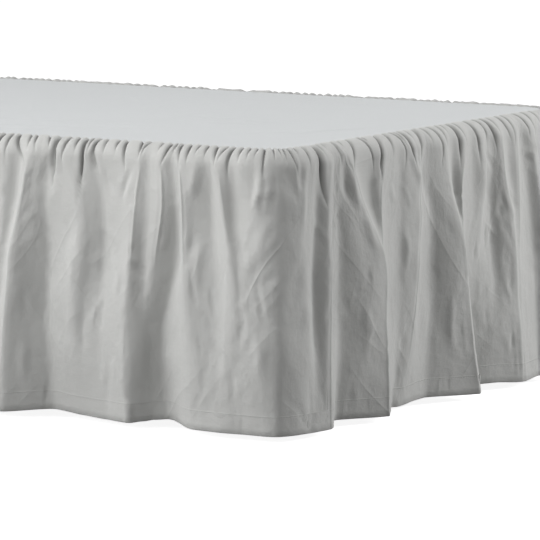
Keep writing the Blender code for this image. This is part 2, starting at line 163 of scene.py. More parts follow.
# Gathers round the front foot corner: the grooves between the small puffs at the seam. "place" is where the
# groove is at the seam, halfway and at its end, "reach" how far down the cloth it runs, "depth" how deep it
# is and "width" its half width. Millimetres.
Gather = namedtuple("Gather", "place reach depth width")
CORNER_GATHERS = [Gather(*row) for row in (
    ((-488, -486, -483), 62, 6.9, 1.9),
    ((-476, -466, -440), 68, 9.8, 2.2),
    ((-458, -450, -444), 42, 5.9, 1.8),
    ((-447, -438, -428), 46, 5.9, 1.8),
    ((-428, -415, -408), 38, 5.9, 1.8),
    ((-400, -397, -396), 108, 9.8, 3.0),
    ((-379, -379, -378), 60, 7.8, 1.9),
    ((-365, -361, -357), 44, 6.9, 1.8),
    ((-350, -342, -344), 126, 9.8, 2.2),
    ((-338, -337, -335), 38, 4.8, 1.6),
    ((-321, -326, -309), 78, 7.8, 2.2),
    ((-313, -309, -305), 46, 5.9, 1.8),
    ((-291, -288, -284), 40, 5.9, 1.8),
    ((-278, -269, -260), 66, 8.7, 2.0),
    ((-254, -243, -238), 44, 6.9, 1.8),
    ((-232, -234, -238), 42, 5.9, 1.8),
    ((-213, -209, -207), 34, 4.8, 1.6),
    ((-197, -192, -197), 56, 7.8, 1.9),
    ((-187, -183, -181), 36, 4.8, 1.6),
    ((-175, -171, -161), 54, 7.8, 1.9),
    ((-161, -155, -150), 50, 7.8, 1.8),
    ((-145, -142, -140), 34, 4.8, 1.6),
    ((-130, -126, -122), 40, 5.9, 1.8),
    ((-115, -107, -101), 52, 7.8, 1.9),
    ((-91, -94, -97), 42, 5.9, 1.8),
    ((-80, -80, -77), 68, 8.7, 2.0),
    ((-68, -65, -61), 42, 5.9, 1.8),
    ((-50, -50, -48), 36, 4.8, 1.6),
    ((-36, -36, -37), 32, 4.8, 1.6),
    ((-23, -23, -24), 66, 5.9, 1.9),
    ((-9, -8, -8), 40, 4.8, 1.6),
    ((2, 2, 4), 36, 4.8, 1.6),
    ((12, 10, 9), 42, 5.9, 1.8),
    ((21, 20, 22), 62, 6.9, 1.9),
    ((41, 33, 28), 38, 3.8, 2.0),
    ((62, 51, 47), 56, 4.9, 2.1),
    ((92, 74, 79), 120, 10.0, 3.8),
    ((106, 96, 90), 41, 3.8, 2.0),
    ((122, 112, 104), 31, 3.1, 1.9),
    ((147, 135, 133), 65, 4.4, 2.1),
    ((170, 160, 152), 31, 3.8, 2.0),
    ((192, 176, 155), 74, 7.4, 2.4),
    ((216, 225, 227), 77, 4.4, 2.4),
    ((240, 232, 228), 31, 3.1, 1.9),
    ((278, 248, 242), 96, 9.4, 2.9),
    ((298, 291, 282), 58, 7.4, 2.3),
    ((312, 322, 314), 83, 3.8, 2.4),
    ((330, 328, 326), 47, 3.8, 2.0),
    ((341, 340, 345), 84, 7.8, 2.4),
    ((362, 358, 352), 36, 3.1, 1.9),
    ((389, 372, 362), 96, 9.4, 3.0),
    ((409, 408, 406), 49, 3.8, 2.0),
    ((428, 430, 421), 88, 4.4, 2.4),
    ((456, 452, 448), 56, 4.4, 2.1),
    ((472, 468, 464), 36, 3.1, 1.9),
    ((489, 488, 480), 92, 9.4, 3.0),
    ((508, 507, 505), 52, 3.8, 2.0),
    ((545, 544, 542), 101, 4.9, 2.5),
    ((570, 577, 580), 65, 4.4, 2.1),
    ((594, 598, 604), 72, 7.4, 2.4),
    ((616, 614, 611), 49, 3.8, 2.0),
    ((647, 643, 650), 60, 5.2, 2.1),
    ((664, 660, 656), 72, 3.8, 2.1),
    ((698, 706, 707), 62, 4.8, 2.1),
    ((730, 728, 726), 56, 3.8, 2.0),
    ((756, 755, 754), 47, 3.8, 2.0),
)]
# Gathers elsewhere are drawn between these least and most values
GATHER_SPACING = (11, 19)
GATHER_REACH = (28, 130)
GATHER_DEPTH = (3.5, 8.0)
GATHER_WIDTH = (2.0, 3.2)
GATHER_LEAN = 9  # most, to either side, between its two ends
GATHER_OFF = 3  # most, to either side, from its even place
GATHER_SMALLER = 2.2  # power by which small gathers come more often than large ones
GATHER_SEED = 11
PUFF_HEIGHT = 2.8 * MM  # of the cloth between two gathers
PUFF_FLAT = 0.8  # share of it that is left beside a gather
PUFF_RISE = 7 * MM  # down the cloth from the seam to the full puff
PUFF_REACH, PUFF_SHARE = 30 * MM, 0.3  # over which a puff fades, and the share of a gather's reach more
GROOVE_RISE = 3 * MM  # down the cloth from the seam to the full groove
GATHER_MARGIN = 30 * MM  # past which a groove is nothing
LEAST_GATHER_GAP = 5 * MM  # between two gathers that run together
LEAST_WAY = 0.01  # the same for the grid's columns, as a part of the way between two fold lines
RIM_WIDTH = 2.3 * MM  # half width of the ridge along a crest
RIM_MARGIN = 50 * MM  # past which it is nothing
RIM_START, RIM_FADE = 0.08, 0.3  # shares of the drop over which a rim rises and fades
FULL_GROOVE_SHADE = 7 * MM  # depth from which the bottoms of grooves get the darkest painted shade
LEAST_CLEARANCE = 0.7 * MM  # that the bottom of a groove keeps from the base

# Creases: soft lines pressed or pulled into the cloth. "path" is points as place and height over the floor,
# "depth" how far the line is pressed in (raised where it is less than 0), "width" its half width.
# Millimetres.
Crease = namedtuple("Crease", "path depth width")
CREASES = [Crease(*row) for row in (
    (((-243, 254), (-232, 245), (-211, 237)), 4.0, 7.0),
    (((-240, 268), (-229, 274)), 3.2, 5.6),
    (((-231, 43), (-231, 13)), 2.8, 4.8),
    (((-103, 188), (-88, 163), (-78, 149)), 2.4, 4.8),
    (((-113, 147), (-102, 125)), 2.0, 4.8),
    (((-91, 125), (-96, 109)), 2.0, 4.8),
    (((-95, 222), (-85, 190)), 2.4, 5.1),
    (((-30, 242), (-23, 202), (-21, 186)), 2.4, 5.1),
    (((-31, 228), (-20, 238), (-7, 256)), 2.4, 4.8),
    (((-37, 180), (-46, 153)), 2.0, 4.8),
    (((-17, 179), (-2, 180)), 1.8, 4.2),
    (((9, 50), (18, 30), (32, 12)), 2.4, 4.8),
    (((0, 48), (11, 30), (23, 14)), -1.8, 5.4),
    (((-23, 401), (-25, 377), (-34, 343)), -3.6, 8.0),
    (((-15, 331), (-24, 288), (-46, 248)), -3.2, 12.8),
    (((-58, 266), (-46, 248)), 3.2, 6.4),
    (((-246, 401), (-261, 363), (-263, 349)), 3.2, 5.4),
    (((-243, 150), (-237, 159)), 1.6, 4.5),
    (((-243, 121), (-236, 128)), 1.6, 4.5),
    (((-241, 87), (-234, 94)), 1.6, 4.5),
    (((178, 238), (182, 230), (180, 210)), 2.4, 5.1),
    (((138, 195), (151, 179)), 2.4, 5.1),
    (((297, 98), (306, 111)), 2.0, 4.8),
    (((449, 98), (465, 82)), 2.0, 4.8),
    (((620, 88), (619, 63)), 2.0, 4.8),
    (((624, 52), (629, 34)), 2.0, 4.8),
    (((161, 41), (183, 32)), 2.4, 4.8),
    (((605, 300), (605, 284)), 4.0, 6.4),
    (((-135, 422), (-134, 393), (-135, 373), (-141, 359)), -4.0, 9.0),
    (((-327, 420), (-323, 407), (-314, 387)), 5.0, 6.0),
    (((-418, 393), (-419, 361), (-424, 331)), -2.5, 12.0),
    (((-395, 363), (-389, 333)), -2.5, 11.0),
    (((-395, 419), (-396, 401), (-398, 377)), 6.0, 6.0),
    (((-26, 420), (-27, 391), (-32, 339)), -3.0, 7.0),
    (((-15, 413), (-16, 377), (-23, 339)), -3.0, 7.0),
    (((23, 430), (19, 393), (22, 361)), -3.0, 7.0),
    (((39, 424), (31, 375), (22, 301)), -3.0, 7.0),
    (((142, 421), (140, 387), (145, 341)), 6.0, 10.0),
    (((149, 397), (157, 359), (172, 331)), -3.5, 8.0),
    (((337, 409), (343, 381), (357, 351)), -3.5, 8.0),
    (((-125, 309), (-131, 274), (-140, 244)), 2.4, 7.0),
    (((-111, 303), (-115, 264), (-116, 222)), -2.4, 7.0),
    (((-235, 153), (-230, 161)), 2.2, 7.0),
    (((-364, 290), (-347, 250), (-353, 207)), -2.4, 8.0),
    (((-322, 193), (-332, 145), (-327, 106)), 2.2, 8.0),
    (((-297, 117), (-287, 83), (-294, 52)), -2.4, 8.0),
    (((-441, 201), (-435, 156)), 2.2, 7.0),
    (((-435, 124), (-442, 92), (-438, 53)), -2.2, 7.0),
    (((-283, 270), (-260, 234), (-268, 196)), -2.4, 8.0),
    (((-50, 212), (-41, 180), (-47, 141)), 2.2, 7.0),
    (((-33, 169), (-23, 137), (-27, 91)), -2.4, 8.0),
    (((-61, 127), (-51, 85), (-55, 50)), 2.2, 7.0),
    (((175, 193), (181, 147), (174, 100)), -2.4, 8.0),
    (((440, 179), (437, 132), (440, 84)), -2.4, 8.0),
    (((614, 240), (617, 197), (615, 143)), 2.2, 8.0),
    (((302, 303), (313, 256), (302, 210)), -2.2, 8.0),
    (((336, 36), (362, 16)), 1.6, 6.0),
    (((387, 33), (395, 15)), 1.6, 6.0),
)]

CREASE_STEPS = 6  # points worked out for each point of a path
CREASE_MARGIN = 5  # half widths past which a crease is nothing
CREASE_FADE = 3.5  # one over the share of the path over which each of its ends fades
SWELL_SHARE, SWELL_WIDTH = 0.35, 2.4  # of the swells beside a crease, of its depth and half width

# Small crumples between them, each a short slanting crease, drawn between these least and most values, in
# millimetres
CRUMPLES = 190
CRUMPLE_PLACE, CRUMPLE_HEIGHT = (-590, 860), (25, 385)
CRUMPLE_LENGTH = (14, 60)
CRUMPLE_LEAN = (0.2, 1.1)  # radians from upright, to either side
CRUMPLE_BOW = 0.15  # most that its middle stands aside, as a share of half its length
CRUMPLE_DEPTH = (1.0, 2.6)
CRUMPLE_WIDTH = (3.2, 6.0)
CRUMPLE_SEED = 5

# Shallow dents that keep the hanging cloth from looking pressed flat
DENTS = 700
DENT_DEPTH = 2.1 * MM
DENT_LENGTH = (0.020, 0.070)
DENT_WIDTH = (0.010, 0.026)
DENT_LEAST = 0.3  # share of the depth that the shallowest has
DENT_LEAN = 0.35  # spread of their lean from upright, in radians
DENT_MARGIN = 2.2  # lengths past which a dent is nothing
DENT_SEED = 23

# Grid of the ruffle
SEAM_STEP = 2.6 * MM  # most between two columns, at the seam
GROOVE_STEP = 0.8 * MM  # the same within GROOVE_REACH of a groove or rim
GROOVE_REACH = 3.2 * MM
HANG_STEP = 5.2 * MM  # most between two columns, along the hem's curve
HIDDEN_COARSER = 5.5  # how many times wider the steps are beyond the table's folds
DENSE_WAYS = 60  # points between two fold lines at which the columns' cost is summed
ROWS = 62
ROW_START, ROW_GROWTH = 0.32, 1.7  # run of the rows: START * t + (1 - START) * t ** GROWTH, t being even

# Turned-up hem: rows as distance in from the cloth's face and height over its lowest edge, in millimetres
HemRow = namedtuple("HemRow", "inward height")
HEM_ROWS = (HemRow(0.9, 0.0), HemRow(1.8, 0.9), HemRow(1.9, 12.0), HemRow(1.6, 30.0))
HEM_FOLD_RISE = 0.9 * MM  # of the face's last row, for the round fold

# Deck panel
DECK_TUCK = 1.0 * MM  # of its edge under the ruffle's
DECK_EDGE_HEIGHT = 0.4 * MM  # of its edge over the base's top
DECK_EDGE = 3 * MM  # over which it rises from there
DECK_LIFT = 1.1 * MM  # by which it rises
DECK_SWELL, DECK_SWELL_REACH = 1.2 * MM, 16 * MM  # along the seam, more than inside
DECK_SWELL_LEFT = 0.25  # share of the swell that stays over the whole deck
DECK_RIPPLE = 17 * MM  # from one ripple by the seam to the next
DECK_RIPPLE_HEIGHT, DECK_RIPPLE_REACH = 0.35 * MM, 14 * MM
DECK_RIPPLE_SWAY = (2.3, 31)  # how unevenly they come: radians to either side, and radians per metre
DECK_COLUMNS, DECK_ROWS = 260, 150
# Long tension wrinkles: ends from the deck's middle, height and half width, in millimetres
DeckWrinkle = namedtuple("DeckWrinkle", "start end height width")
WRINKLE_FADE = 4  # one over the share of its length over which each end fades
DECK_WRINKLES = [DeckWrinkle(*row) for row in (
    ((250, -300), (620, -240), 1.3, 8),
    ((330, -342), (560, -318), 1.0, 6),
    ((200, -190), (650, -200), 1.1, 9),
    ((450, 10), (760, -36), 1.1, 9),
    ((600, -90), (720, -66), 1.0, 7),
    ((760, -230), (890, -60), 0.9, 6),
    ((830, -190), (905, 20), 0.9, 6),
    ((-700, 120), (-240, 60), 0.6, 12),
    ((100, 250), (560, 330), 0.6, 11),
)]

# Finish of the cloth
SLUBS = ((900, 22, 1), (26, 1000, 1))  # noise scales of the thick stretches, of warp and of weft
WEAVE_HEIGHT = 0.10 * MM
WEAVE_SHARE = 0.35  # height of the threads against that of the slubs
WRINKLE_SCALE, FINE_SCALE = 26.0, 2.6  # of the broad crumples, and how much finer the fine ones are
BROAD_SHARE, FINE_SHARE, LINE_SHARE = 1.8, 0.65, 2.2  # heights of broad and fine crumples and of thin lines
LINE_PATCHES = ((0.6, 17.0, 6.0), (-0.75, 15.0, 7.5))  # angle and scale of thin lines, scale of their patches
PATCH_LEVEL = 0.42  # of the patches' noise, under which there are no lines
RUFFLE_WRINKLE, DECK_WRINKLE = 1.35 * MM, 0.5 * MM
GROOVE_SHADE = 0.9  # how far the painted shade in the deepest grooves of a gather goes to its darkest tone
GROOVE_SHADE_DARK, STITCH_DARK = 0.12, 0.6  # darkest tones of the painted groove shade and of the stitches, as shares of the cloth's dark colour
HEM_DEPTH = 30 * MM
HEM_STEP, HEM_RELIEF = 1.2 * MM, 0.4 * MM  # over which the doubled cloth ends, and the height of its bump
HEM_SHARE, STITCH_SHARE = 0.5, 0.8  # of that, how high the hem stands and how deep a stitch is
STITCH = 2.8 * MM  # from one stitch to the next
STITCH_INSET, STITCH_HALF = 1.5 * MM, 0.5 * MM  # of the stitches under the hem's edge, half their thickness
STITCH_OVER = -0.5  # the sine along the row over which there is thread
STITCH_SHADE = 0.18  # how far a stitch goes to its darkest tone

# Finish of the base's cover and its legs
COVER_THREAD, COVER_HEIGHT = 1.2 * MM, 0.3 * MM
GRAIN_HEIGHT = 0.25 * MM

# Stage: the lights' places and sizes in metres, and what they and the camera aim over the front foot corner
Light = namedtuple("Light", "name place width height")
LIGHTS = (
    Light("key", (-2.9, -2.7, 1.6), 8.0, 2.4),
    Light("foot", (3.2, 2.3, 1.6), 1.5, 1.5),
    Light("fill", (1.6, -3.8, 2.2), 2.0, 1.5),
    Light("top", (-0.1, -1.7, 3.0), 2.0, 1.5),
)
LIGHT_AIM_HEIGHT = 0.25
FLOOR_SIZE = 60
FLOOR_GLOW = 0.9
FLOOR_BOUNCE = (0.25, 0.25, 0.25, 1.0)  # the little of the floor's light that reaches the cloth
FLOOR_MOTTLE = 0.97  # its darkest patches, as a share of its colour
WHITE = (1, 1, 1, 1)
CAMERA_AZIMUTH, CAMERA_ELEVATION = 32.17, 7.26  # degrees
CAMERA_DISTANCE = 7.476
CAMERA_AIM_HEIGHT = 0.22
CAMERA_LENS, CAMERA_SENSOR = 333.3, 36
CAMERA_SHIFT = (-0.0267, 0.0459)


def edge_point(place, out):
    """The plan point at a place along the base's edge, moved out from it by "out", and the outward normal.

    The edge runs along the front side, round a quarter circle, along the foot end, round the far quarter
    circle and back along the other side. The place is 0 in the middle of the first quarter circle.
    """
    turned = np.clip(place, -ARC_HALF, ARC_HALF) + np.clip(place - FAR_CORNER, -ARC_HALF, ARC_HALF)
    heading = turned / CORNER_RADIUS
    normal_x = np.cos(heading)
    normal_y = np.sin(heading)
    front_run = np.minimum(place + ARC_HALF, 0)
    foot_run = np.clip(place - ARC_HALF, 0, FOOT_RUN)
    back_run = np.maximum(place - FAR_CORNER - ARC_HALF, 0)
    x = BASE_HIGH.x - CORNER_RADIUS + (CORNER_RADIUS + out) * normal_x + front_run - back_run
    y = BASE_LOW.y + CORNER_RADIUS + (CORNER_RADIUS + out) * normal_y + foot_run
    return x, y, normal_x, normal_y


def regular_folds(first, last, rng):
    """Fold lines by the rule between two places, as rows like CORNER_FOLDS, from a trough to a trough.

    The lines of a fold wander aside evenly down the drop, by up to DRIFT, and its "out" is its kind's times
    1 - OUT_SPREAD to 1.
    """
    shares = np.cumsum([kind.share for kind in FOLD_KINDS])
    rows = [FoldLine(np.full(len(LEVELS), first), TROUGH_OUT, TROUGH_LIFT)]
    place = first
    while True:
        kind = FOLD_KINDS[np.searchsorted(shares, rng.uniform())]
        width = rng.uniform(*kind.width)
        depth = rng.uniform(1 - OUT_SPREAD, 1)
        drift = np.linspace(0, rng.uniform(-DRIFT, DRIFT), len(LEVELS))
        trough_drift = np.linspace(0, rng.uniform(-DRIFT, DRIFT), len(LEVELS)) / 2
        trough_out = TROUGH_OUT + TROUGH_RISE * rng.uniform() ** 2
        if place + width > last - FOLD_KINDS[0].width[0]:
            break
        middle = place + width / 2 + drift
        for line in kind.lines:
            rows.append(FoldLine(middle + line.place, depth * np.array(line.out), line.lift, line.rim))
        place += width
        rows.append(FoldLine(place + trough_drift, trough_out, TROUGH_LIFT))
    end = np.full(len(LEVELS), last)
    crest = FOLD_KINDS[0].lines[0]
    rows.append(FoldLine(np.full(len(LEVELS), (place + last) / 2), crest.out, crest.lift))
    rows.append(FoldLine(end, TROUGH_OUT, TROUGH_LIFT))
    return rows


def all_folds():
    """Place and out at every level, lift and rim of every fold line, from one end of the ruffle on."""
    rng = np.random.default_rng(FOLD_SEED)
    before = regular_folds(RUFFLE_START / MM, CORNER_FOLDS[0].place[0] - NEXT_FOLD, rng)
    after = regular_folds(CORNER_FOLDS[-1].place[0], RUFFLE_END / MM, rng)
    rows = before + list(CORNER_FOLDS) + after[1:]
    places = np.array([row.place for row in rows]) * MM
    outs = np.array([row.out for row in rows]) * MM
    lifts = np.array([row.lift for row in rows]) * MM
    rims = np.array([row.rim for row in rows])
    return places, outs, lifts, rims


def down_the_drop(knots, shares):
    """Smooth curves through each line's five values: cubic pieces whose slopes at the levels are shared."""
    step = np.diff(LEVELS)
    slope = np.diff(knots, axis=1) / step
    inner = (slope[:, :-1] * step[1:] + slope[:, 1:] * step[:-1]) / (step[1:] + step[:-1])
    tangent = np.column_stack([slope[:, 0], inner, slope[:, -1]])
    low = np.clip(np.searchsorted(LEVELS, shares, side="right") - 1, 0, len(step) - 1)
    u = (shares - LEVELS[low]) / step[low]
    from_low = knots[:, low] * (1 + 2 * u) * (1 - u) ** 2 + tangent[:, low] * step[low] * u * (1 - u) ** 2
    from_high = knots[:, low + 1] * u**2 * (3 - 2 * u) + tangent[:, low + 1] * step[low] * u**2 * (u - 1)
    return from_low + from_high


def all_gathers():
    """Place (seam, halfway, end), reach, depth and half width of every gather, in metres.

    They are the listed ones, and beyond them, on either side, ones at even steps moved a little at random,
    whose measures are least + (most - least) * random ** GATHER_SMALLER.
    """
    rng = np.random.default_rng(GATHER_SEED)
    listed = [row.place[0] for row in CORNER_GATHERS]
    rows = list(CORNER_GATHERS)
    for start, stop in ((RUFFLE_START / MM, listed[0]), (listed[-1], RUFFLE_END / MM)):
        count = round((stop - start) / np.mean(GATHER_SPACING)) - 1
        for step in range(count):
            even = start + (stop - start) * (step + 1) / (count + 1)
            place = even + rng.uniform(-GATHER_OFF, GATHER_OFF)
            lean = rng.uniform(-GATHER_LEAN, GATHER_LEAN)
            size = rng.uniform() ** GATHER_SMALLER
            ranges = (GATHER_REACH, GATHER_DEPTH, GATHER_WIDTH)
            reach, depth, width = (least + (most - least) * size for least, most in ranges)
            rows.append(Gather((place, place + lean / 2, place + lean), reach, depth, width))
    rows.sort(key=lambda row: row.place[0])
    places = np.array([row.place for row in rows]) * MM
    sizes = np.array([(row.reach, row.depth, row.width) for row in rows]) * MM
    return places, sizes


def cloth_profile(run):
    """The plain cloth at a distance "run" down it from the seam: a short flat run, a quarter circle over the
    edge, and a straight drop. Gives the distance out, the height, the roll's angle and the share of the drop.
    """
    flat = np.clip(run / ROLL_START, 0, 1)
    angle = np.clip((run - ROLL_START) / ROLL_RADIUS, 0, math.pi / 2)
    hang = np.maximum(run - ROLL_START - ROLL_LENGTH, 0)
    out = -SEAM_INSET + ROLL_START * flat + ROLL_RADIUS * np.sin(angle)
    height = BED_TOP + SEAM_HEIGHT + (ROLL_RISE - SEAM_HEIGHT) * flat
    return out, height - ROLL_RADIUS * (1 - np.cos(angle)) - hang, angle, hang / HANG_LENGTH


def smooth_step(value):
    """3 * v**2 - 2 * v**3 of a value v that is held between 0 and 1."""
    value = np.clip(value, 0, 1)
    return value * value * (3 - 2 * value)


def faded_ends(way, rate):
    """1 along a way from 0 to 1, but for its two ends, each 1 / rate long, where it goes smoothly to 0."""
    return smooth_step(rate * way) * smooth_step(rate * (1 - way))


def kept_apart(values, gap):
    """The values along the first axis, each moved on where it is less than the gap past one before it."""
    least = np.arange(len(values)) * gap
    return (np.maximum.accumulate(values.T - least, axis=-1) + least).T


def slice_within(values, least, most):
    """The slice of rising values that takes in those between two limits."""
    return slice(*np.searchsorted(values, (least, most)))


def nearest_on_path(points, path):
    """How far along a path of straight pieces each point's nearest place is, from 0 to 1, and how far away.

    On a piece the nearest place is at t = offset . along / along . along, held between 0 and 1.
    """
    start, along = path[:-1], np.diff(path, axis=0)
    offset = points[:, None, :] - start
    t = np.clip((offset * along).sum(-1) / (along**2).sum(-1), 0, 1)
    distance = np.linalg.norm(offset - t[..., None] * along, axis=-1)
    closest = distance.argmin(axis=1)
    pick = np.arange(len(closest))
    return (closest + t[pick, closest]) / len(along), distance[pick, closest]


def fold_way(places, outs, share, ways):
    """Fold line number, place and out at "ways" (line number and part of the way to the next) at every row.

    Between two lines the cloth runs straight, and bends at the lines on a parabola, so that at a distance d
    from a line it stands change_of_slope * (bend - d)**2 / (4 * bend) off the straight run. On the foot end
    a run that rises is bellied by RISE_BELLY * way * (1 - way), and one that falls follows 1 - (1 - way)**3.
    """
    step = np.diff(places, axis=0)
    slope = np.diff(outs, axis=0) / step
    low, high = BELLY_END
    on_foot = (places[:-1] > ARC_HALF / 2) & (places[1:] < FAR_CORNER - ARC_HALF / 2)
    belly = on_foot * (1 - smooth_step((share - low) / (high - low)))
    rise = belly * (slope > 0)
    fall = belly - rise
    turn = np.zeros(places.shape)
    first_slope = slope * (1 + RISE_BELLY * rise + 2 * fall)
    last_slope = slope * (1 - RISE_BELLY * rise - fall)
    turn[1:-1] = first_slope[1:] - last_slope[:-1]
    bend = np.where(turn < 0, CREST_BEND, TROUGH_BEND)
    bend[1:-1] = np.minimum(bend[1:-1], BEND_MOST * np.minimum(step[1:], step[:-1]))
    line = np.minimum(ways.astype(int), len(places) - 2)
    way = ways - line
    row = np.arange(len(share))
    at, after = (line, row), (line + 1, row)
    ramp = way + rise[at] * RISE_BELLY * way * (1 - way) + fall[at] * (1 - (1 - way) ** 3 - way)
    out = outs[at] + slope[at] * step[at] * ramp
    for near, distance in ((at, way * step[at]), (after, (1 - way) * step[at])):
        out = out + turn[near] * np.maximum(0, bend[near] - distance) ** 2 / (4 * bend[near])
    return line, places[at] + step[at] * way, out


def ruffle_ways(places, outs, fine_places):
    """Where the grid's columns stand: closer by the seam's fine places or where the hem has a steep flank.

    A cost is summed along the ruffle, the larger of seam length and hem length over the step wanted there,
    and the columns stand at whole values of it.
    """
    dense = np.arange((len(places) - 1) * DENSE_WAYS + 1) / DENSE_WAYS
    both = np.stack([dense, dense], axis=1)
    _, place, out = fold_way(places[:, [0, -1]], outs[:, [0, -1]], np.array([0.0, 1.0]), both)
    seam = (place[1:, 0] + place[:-1, 0]) / 2
    nearest = np.abs(seam[:, None] - fine_places[None, :]).min(axis=1)
    seam_step = np.where(nearest < GROOVE_REACH, GROOVE_STEP, SEAM_STEP)
    hem = np.hypot(np.diff(place[:, 1]), np.diff(out[:, 1]))
    cost = np.maximum(np.diff(place[:, 0]) / seam_step, hem / HANG_STEP)
    shown = (seam > CORNER_FOLDS[0].place[0] * MM) & (seam < CORNER_FOLDS[-1].place[0] * MM)
    total = np.concatenate([[0], np.cumsum(cost / np.where(shown, 1, HIDDEN_COARSER))])
    return np.interp(np.linspace(0, total[-1], int(total[-1]) + 1), total, dense)


def gather_paths(gathers, reach, run):
    """Place of every gather at every row: on a parabola through its three places, and held from its reach on.

    Each keeps LEAST_GATHER_GAP from the one before it.
    """
    u = np.minimum(run / reach[:, None], 1)
    first, middle, last = gathers[:, :1], gathers[:, 1:2], gathers[:, 2:]
    paths = first * (1 - u) * (1 - 2 * u) + middle * 4 * u * (1 - u) + last * u * (2 * u - 1)
    return kept_apart(paths, LEAST_GATHER_GAP)


def follow_gathers(ways, places, paths, within):
    """The ways at every row, moved with the gathers so that the close columns stay by the grooves.

    "within" tells which rows a gather reaches, and below them the columns keep to the folds again.
    """
    lines = np.arange(len(places))
    ends = np.array([0, len(places) - 1])
    at_seam = np.interp(paths[:, 0], places[:, 0], lines)
    known = np.concatenate([ends[:1], at_seam, ends[1:]])
    moved = at_seam
    rows = []
    for row in range(paths.shape[1]):
        here = np.interp(paths[:, row], places[:, row], lines)
        moved = np.where(within[:, row], here, moved)
        moved = np.clip(kept_apart(moved, LEAST_WAY), *ends)
        rows.append(np.interp(ways, known, np.concatenate([ends[:1], moved, ends[1:]])))
    return np.stack(rows, axis=1)


def unit_normals(points):
    """Outward unit normals of a grid of points: the cross product of its row and column directions."""
    across = np.gradient(points, axis=0)
    down = np.gradient(points, axis=1)
    normal = np.cross(down, across)
    return normal / np.maximum(np.linalg.norm(normal, axis=-1, keepdims=True), 1e-12)


def gather_relief(place, stretch, run, paths, sizes):
    """Height of the gathers over the folds, and how much painted shade each point gets for lying deep in the
    grooves, from 0 to 1.

    A puff stands PUFF_HEIGHT * (flat + (1 - flat) * sin(pi * way) ** 0.5) high between two gathers, and fades
    as exp(-(run / reach)**2), with part of the reach of the gathers beside it. The grooves are
    depth * exp(-(distance / width) ** 1.3) deep, where the distance is measured along the cloth, and fade
    from the seam to their reach as (1 - u**2) ** 1.5. Both rise from nothing in the first millimetres.
    """
    relief = np.zeros(place.shape)
    groove = np.zeros(place.shape)
    number = np.arange(len(paths))
    for row in np.flatnonzero(run < 2 * (PUFF_REACH + PUFF_SHARE * GATHER_REACH[1] * MM)):
        at = np.interp(place[:, row], np.maximum.accumulate(paths[:, row]), number)
        between = np.sin(math.pi * (at % 1)) ** 0.5
        fade = np.exp(-((run[row] / (PUFF_REACH + PUFF_SHARE * np.interp(at, number, sizes[:, 0]))) ** 2))
        rise = np.clip(run[row] / PUFF_RISE, 0, 1) ** 0.7
        relief[:, row] = PUFF_HEIGHT * rise * fade * (PUFF_FLAT + (1 - PUFF_FLAT) * between)
    for path, (reach, depth, width) in zip(paths, sizes):
        rows = run < reach
        near = slice_within(place[:, 0], path.min() - GATHER_MARGIN, path.max() + GATHER_MARGIN)
        u = run[rows] / reach
        fade = (1 - u * u) ** 1.5 * np.clip(run[rows] / GROOVE_RISE, 0, 1) ** 0.5
        distance = np.abs(place[near, rows] - path[rows]) * stretch[near, rows]
        inside = fade * np.exp(-((distance / width) ** 1.3))
        relief[near, rows] -= depth * inside
        # painted shade: the deeper in the grooves, the darker the cloth is painted
        groove[near, rows] = np.maximum(groove[near, rows], inside * min(depth / FULL_GROOVE_SHADE, 1))
    return relief, groove


def rim_relief(place, stretch, share, places, rims):
    """Height of the sharp ridges along the crests: height * exp(-(distance / RIM_WIDTH)**2), fading down."""
    relief = np.zeros(place.shape)
    for line in np.flatnonzero(rims[:, 0]):
        height, end = rims[line]
        path = places[line]
        near = slice_within(place[:, 0], path.min() - RIM_MARGIN, path.max() + RIM_MARGIN)
        distance = (place[near] - path) * stretch[near]
        fade = smooth_step(share / RIM_START) * (1 - smooth_step((share - end + RIM_FADE) / RIM_FADE))
        relief[near] += height * MM * fade * np.exp(-((distance / RIM_WIDTH) ** 2))
    return relief


def all_creases():
    """The listed creases, and the crumples: lines through a point drawn at random, bowed a little aside."""
    rng = np.random.default_rng(CRUMPLE_SEED)
    creases = list(CREASES)
    for _ in range(CRUMPLES):
        middle = np.array((rng.uniform(*CRUMPLE_PLACE), rng.uniform(*CRUMPLE_HEIGHT)))
        lean = rng.uniform(*CRUMPLE_LEAN) * rng.choice((-1, 1))
        half = rng.uniform(*CRUMPLE_LENGTH) / 2 * np.array((math.sin(lean), math.cos(lean)))
        bow = rng.uniform(-CRUMPLE_BOW, CRUMPLE_BOW) * np.array((half[1], -half[0]))
        depth = rng.uniform(*CRUMPLE_DEPTH) * rng.choice((-1, 1))
        width = rng.uniform(*CRUMPLE_WIDTH)
        creases.append(Crease((middle - half, middle + bow, middle + half), depth, width))
    return creases


